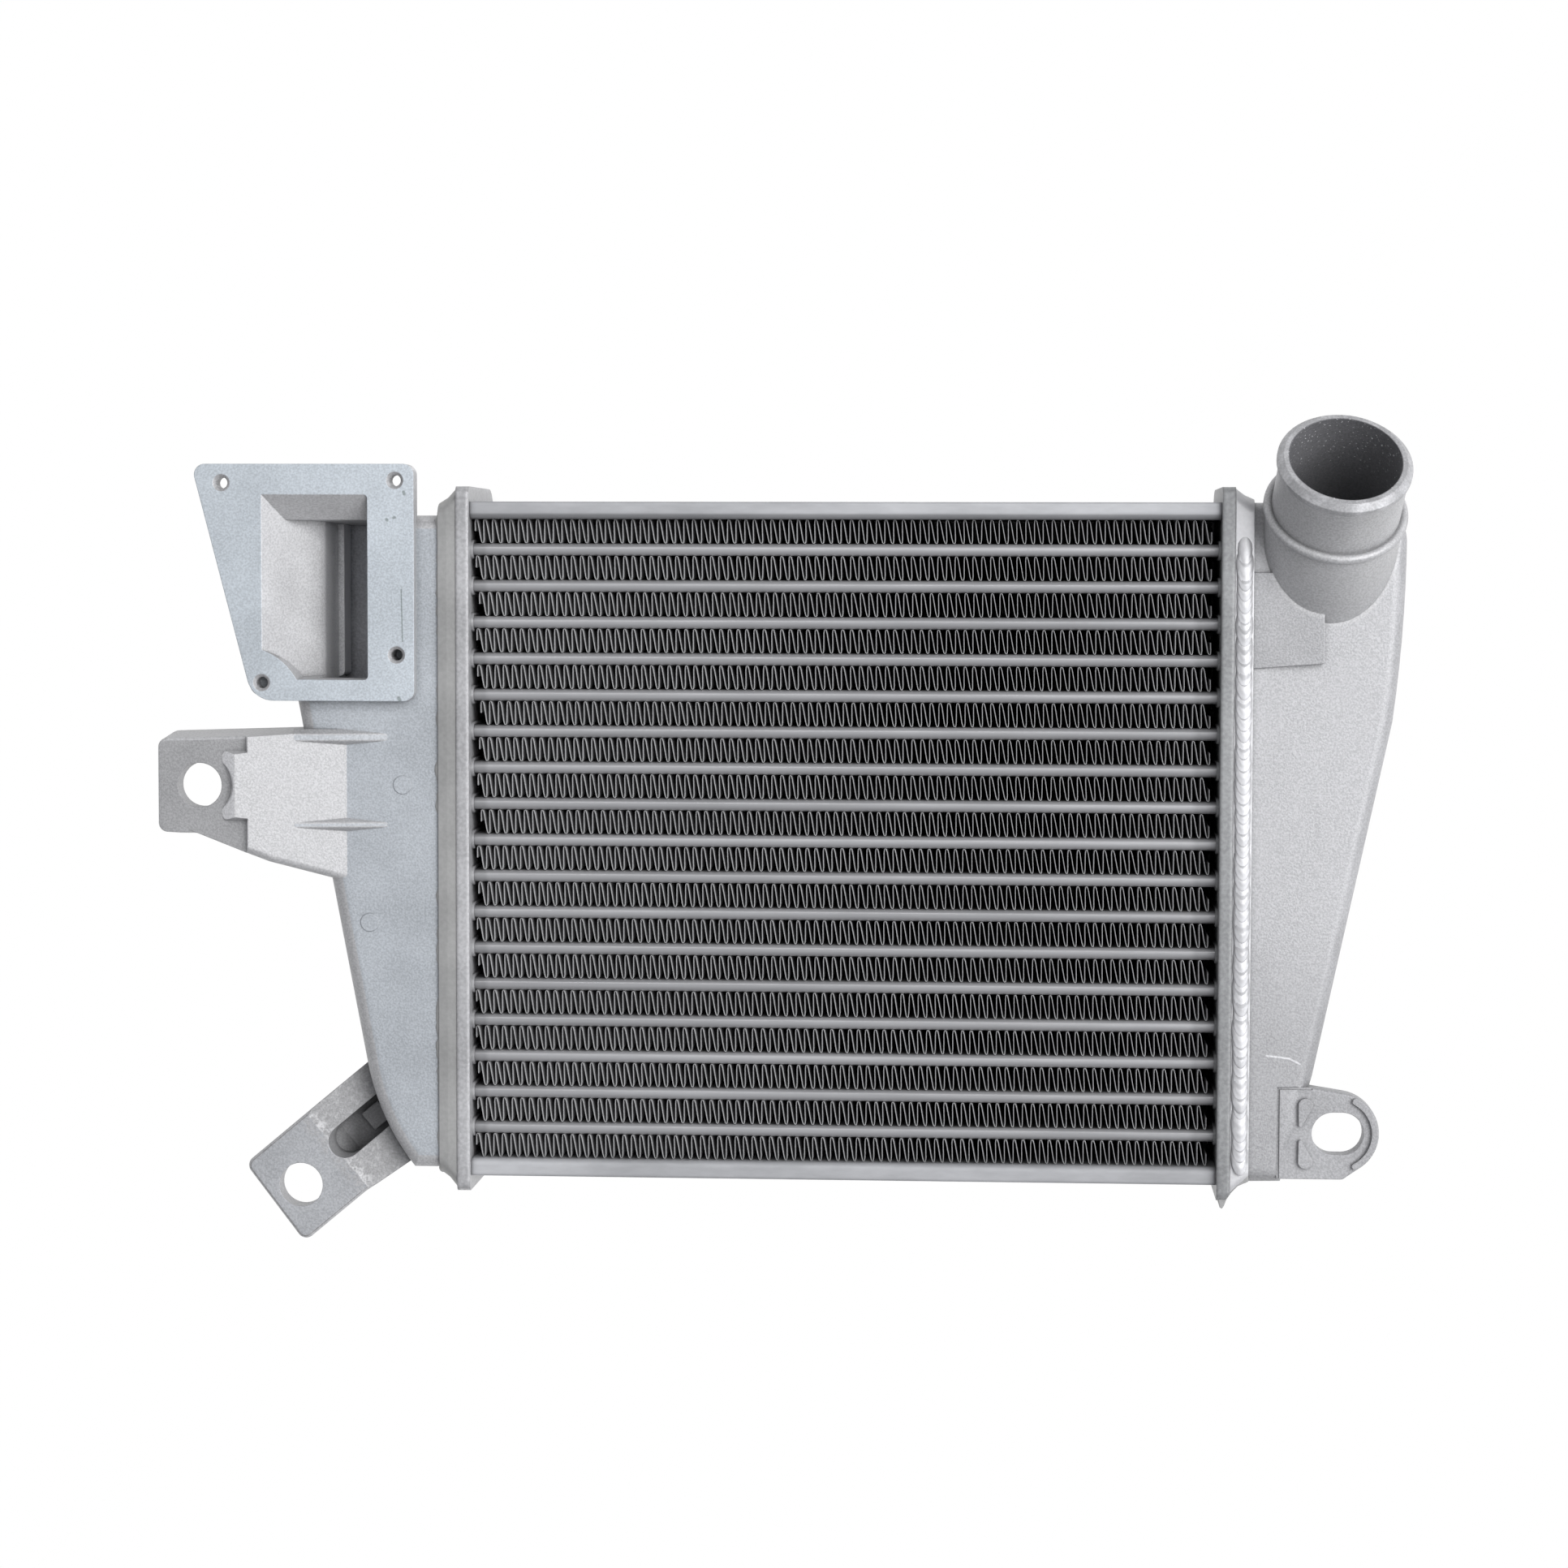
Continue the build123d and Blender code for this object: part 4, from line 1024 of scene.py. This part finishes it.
def cut_copy(name, body, cutters):
    """A copy of a CAD body with solids taken out, shown in the body's place."""
    stand_in = bpy.data.objects.new(name, nodes[body].data.copy())
    stand_in.matrix_world = nodes[body].matrix_world
    bpy.context.scene.collection.objects.link(stand_in)
    if stand_in.data.has_custom_normals:
        stand_in.data.attributes.remove(stand_in.data.attributes["custom_normal"])
    tools = []
    for number, ends in enumerate(cutters):
        tool_name = f"{name}_{number}"
        tool = bpy.data.objects.new(tool_name, pulled_mesh(tool_name, *ends))
        bpy.context.scene.collection.objects.link(tool)
        tools.append(tool)
        cut = stand_in.modifiers.new(tool_name, "BOOLEAN")
        cut.operation = "DIFFERENCE"
        cut.solver = "EXACT"
        cut.object = tool
    evaluated = stand_in.evaluated_get(bpy.context.evaluated_depsgraph_get())
    shape = bpy.data.meshes.new_from_object(evaluated)
    shape.set_sharp_from_angle(angle=SMOOTH_BELOW)
    stand_in.modifiers.clear()
    stand_in.data = shape
    for tool in tools:
        bpy.data.objects.remove(tool)
    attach(stand_in, "root")
    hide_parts(body)
    print(name, "faces", len(shape.polygons))


# %% [markdown]
# ## The step at the lug's root
# On the real casting the lug's flat seat is let into the tank's sloping face, so
# a low step runs up its inner side. One shallow block is taken out for the step,
# and two narrow, slightly deeper ones leave the fine groove at its foot.

# %% Let the lug's seat into the tank
LUG_ROOT = 160.6
LUG_TOP = -89.4
BELOW_LUG = -140.0
PROUD = 75.0
SEAT = 61.0
GROOVE = 60.6


def rectangle(left, bottom, right, top):
    """The corners of a rectangle on the front."""
    return ((left, bottom), (right, bottom), (right, top), (left, top))


step_cutters = (
    straight(rectangle(LUG_ROOT, BELOW_LUG, 168.3, LUG_TOP), SEAT, PROUD),
    straight(rectangle(LUG_ROOT, BELOW_LUG, LUG_ROOT + 1.0, LUG_TOP), GROOVE, PROUD),
    straight(rectangle(LUG_ROOT, LUG_TOP - 0.8, 173.6, LUG_TOP + 0.2), GROOVE, PROUD),
)
cut_copy("right_tank_stepped", "right_tank", step_cutters)

# %% [markdown]
# ## The foot of the right seam
# Seen end on, the weld under the tank slopes from the header's lower edge up to
# the tank's wall. The corners of header and bead are taken off along that slope.

# %% Slope the seam's foot
FOOT_SLOPE = (
    (141.4, -131.9),
    (142.1, -130.2),
    (143.7, -127.8),
    (146.2, -125.3),
    (149.0, -124.0),
    (150.6, -123.6),
    (156.0, -123.6),
    (156.0, -138.0),
    (141.4, -138.0),
)
slope_cutter = straight(FOOT_SLOPE, -2.0, 68.0)
cut_copy("right_header_sloped", "right_header", [slope_cutter])
cut_copy("right_weld_bead_sloped", "right_weld_bead", [slope_cutter])

# %% [markdown]
# ## Two small pieces of cast and weld metal
# The pocket in the lower lug is blind on the real casting, so a plate closes its
# far end. At the foot of the right seam the weld ran down the header's edge and
# set as a curved spur. Both are plain outlines pulled straight through.

# %% Pocket floor and weld spur
LUG_TURN = math.radians(40)
LUG_HOLE = Vector((-204.2, -131.2))
FLOOR_SECTION = ((15.0, 43.7), (22.5, 36.2), (22.5, 34.8), (14.6, 42.7))
FLOOR_SIDES = (-5.6, 9.4)
SPUR = (
    (139.4, -120.0),
    (139.3, -131.0),
    (139.8, -133.6),
    (140.6, -134.1),
    (141.3, -133.2),
    (142.3, -130.6),
    (143.9, -128.2),
    (146.4, -125.6),
    (150.2, -123.9),
    (150.2, -120.0),
)


def in_lug(along, aside, deep):
    """A point of the lower lug, measured along and across it from its hole."""
    x = LUG_HOLE.x + along * math.cos(LUG_TURN) - aside * math.sin(LUG_TURN)
    y = LUG_HOLE.y + along * math.sin(LUG_TURN) + aside * math.cos(LUG_TURN)
    return x, y, deep


floor_ends = [[in_lug(u, v, z) for u, z in FLOOR_SECTION] for v in FLOOR_SIDES]
pulled("lug_pocket_floor", floor_ends, cast_left)
pulled("right_weld_spur", straight(SPUR, 4.0, 64.6), left_weld)

# %% Finish
bpy.context.view_layer.update()
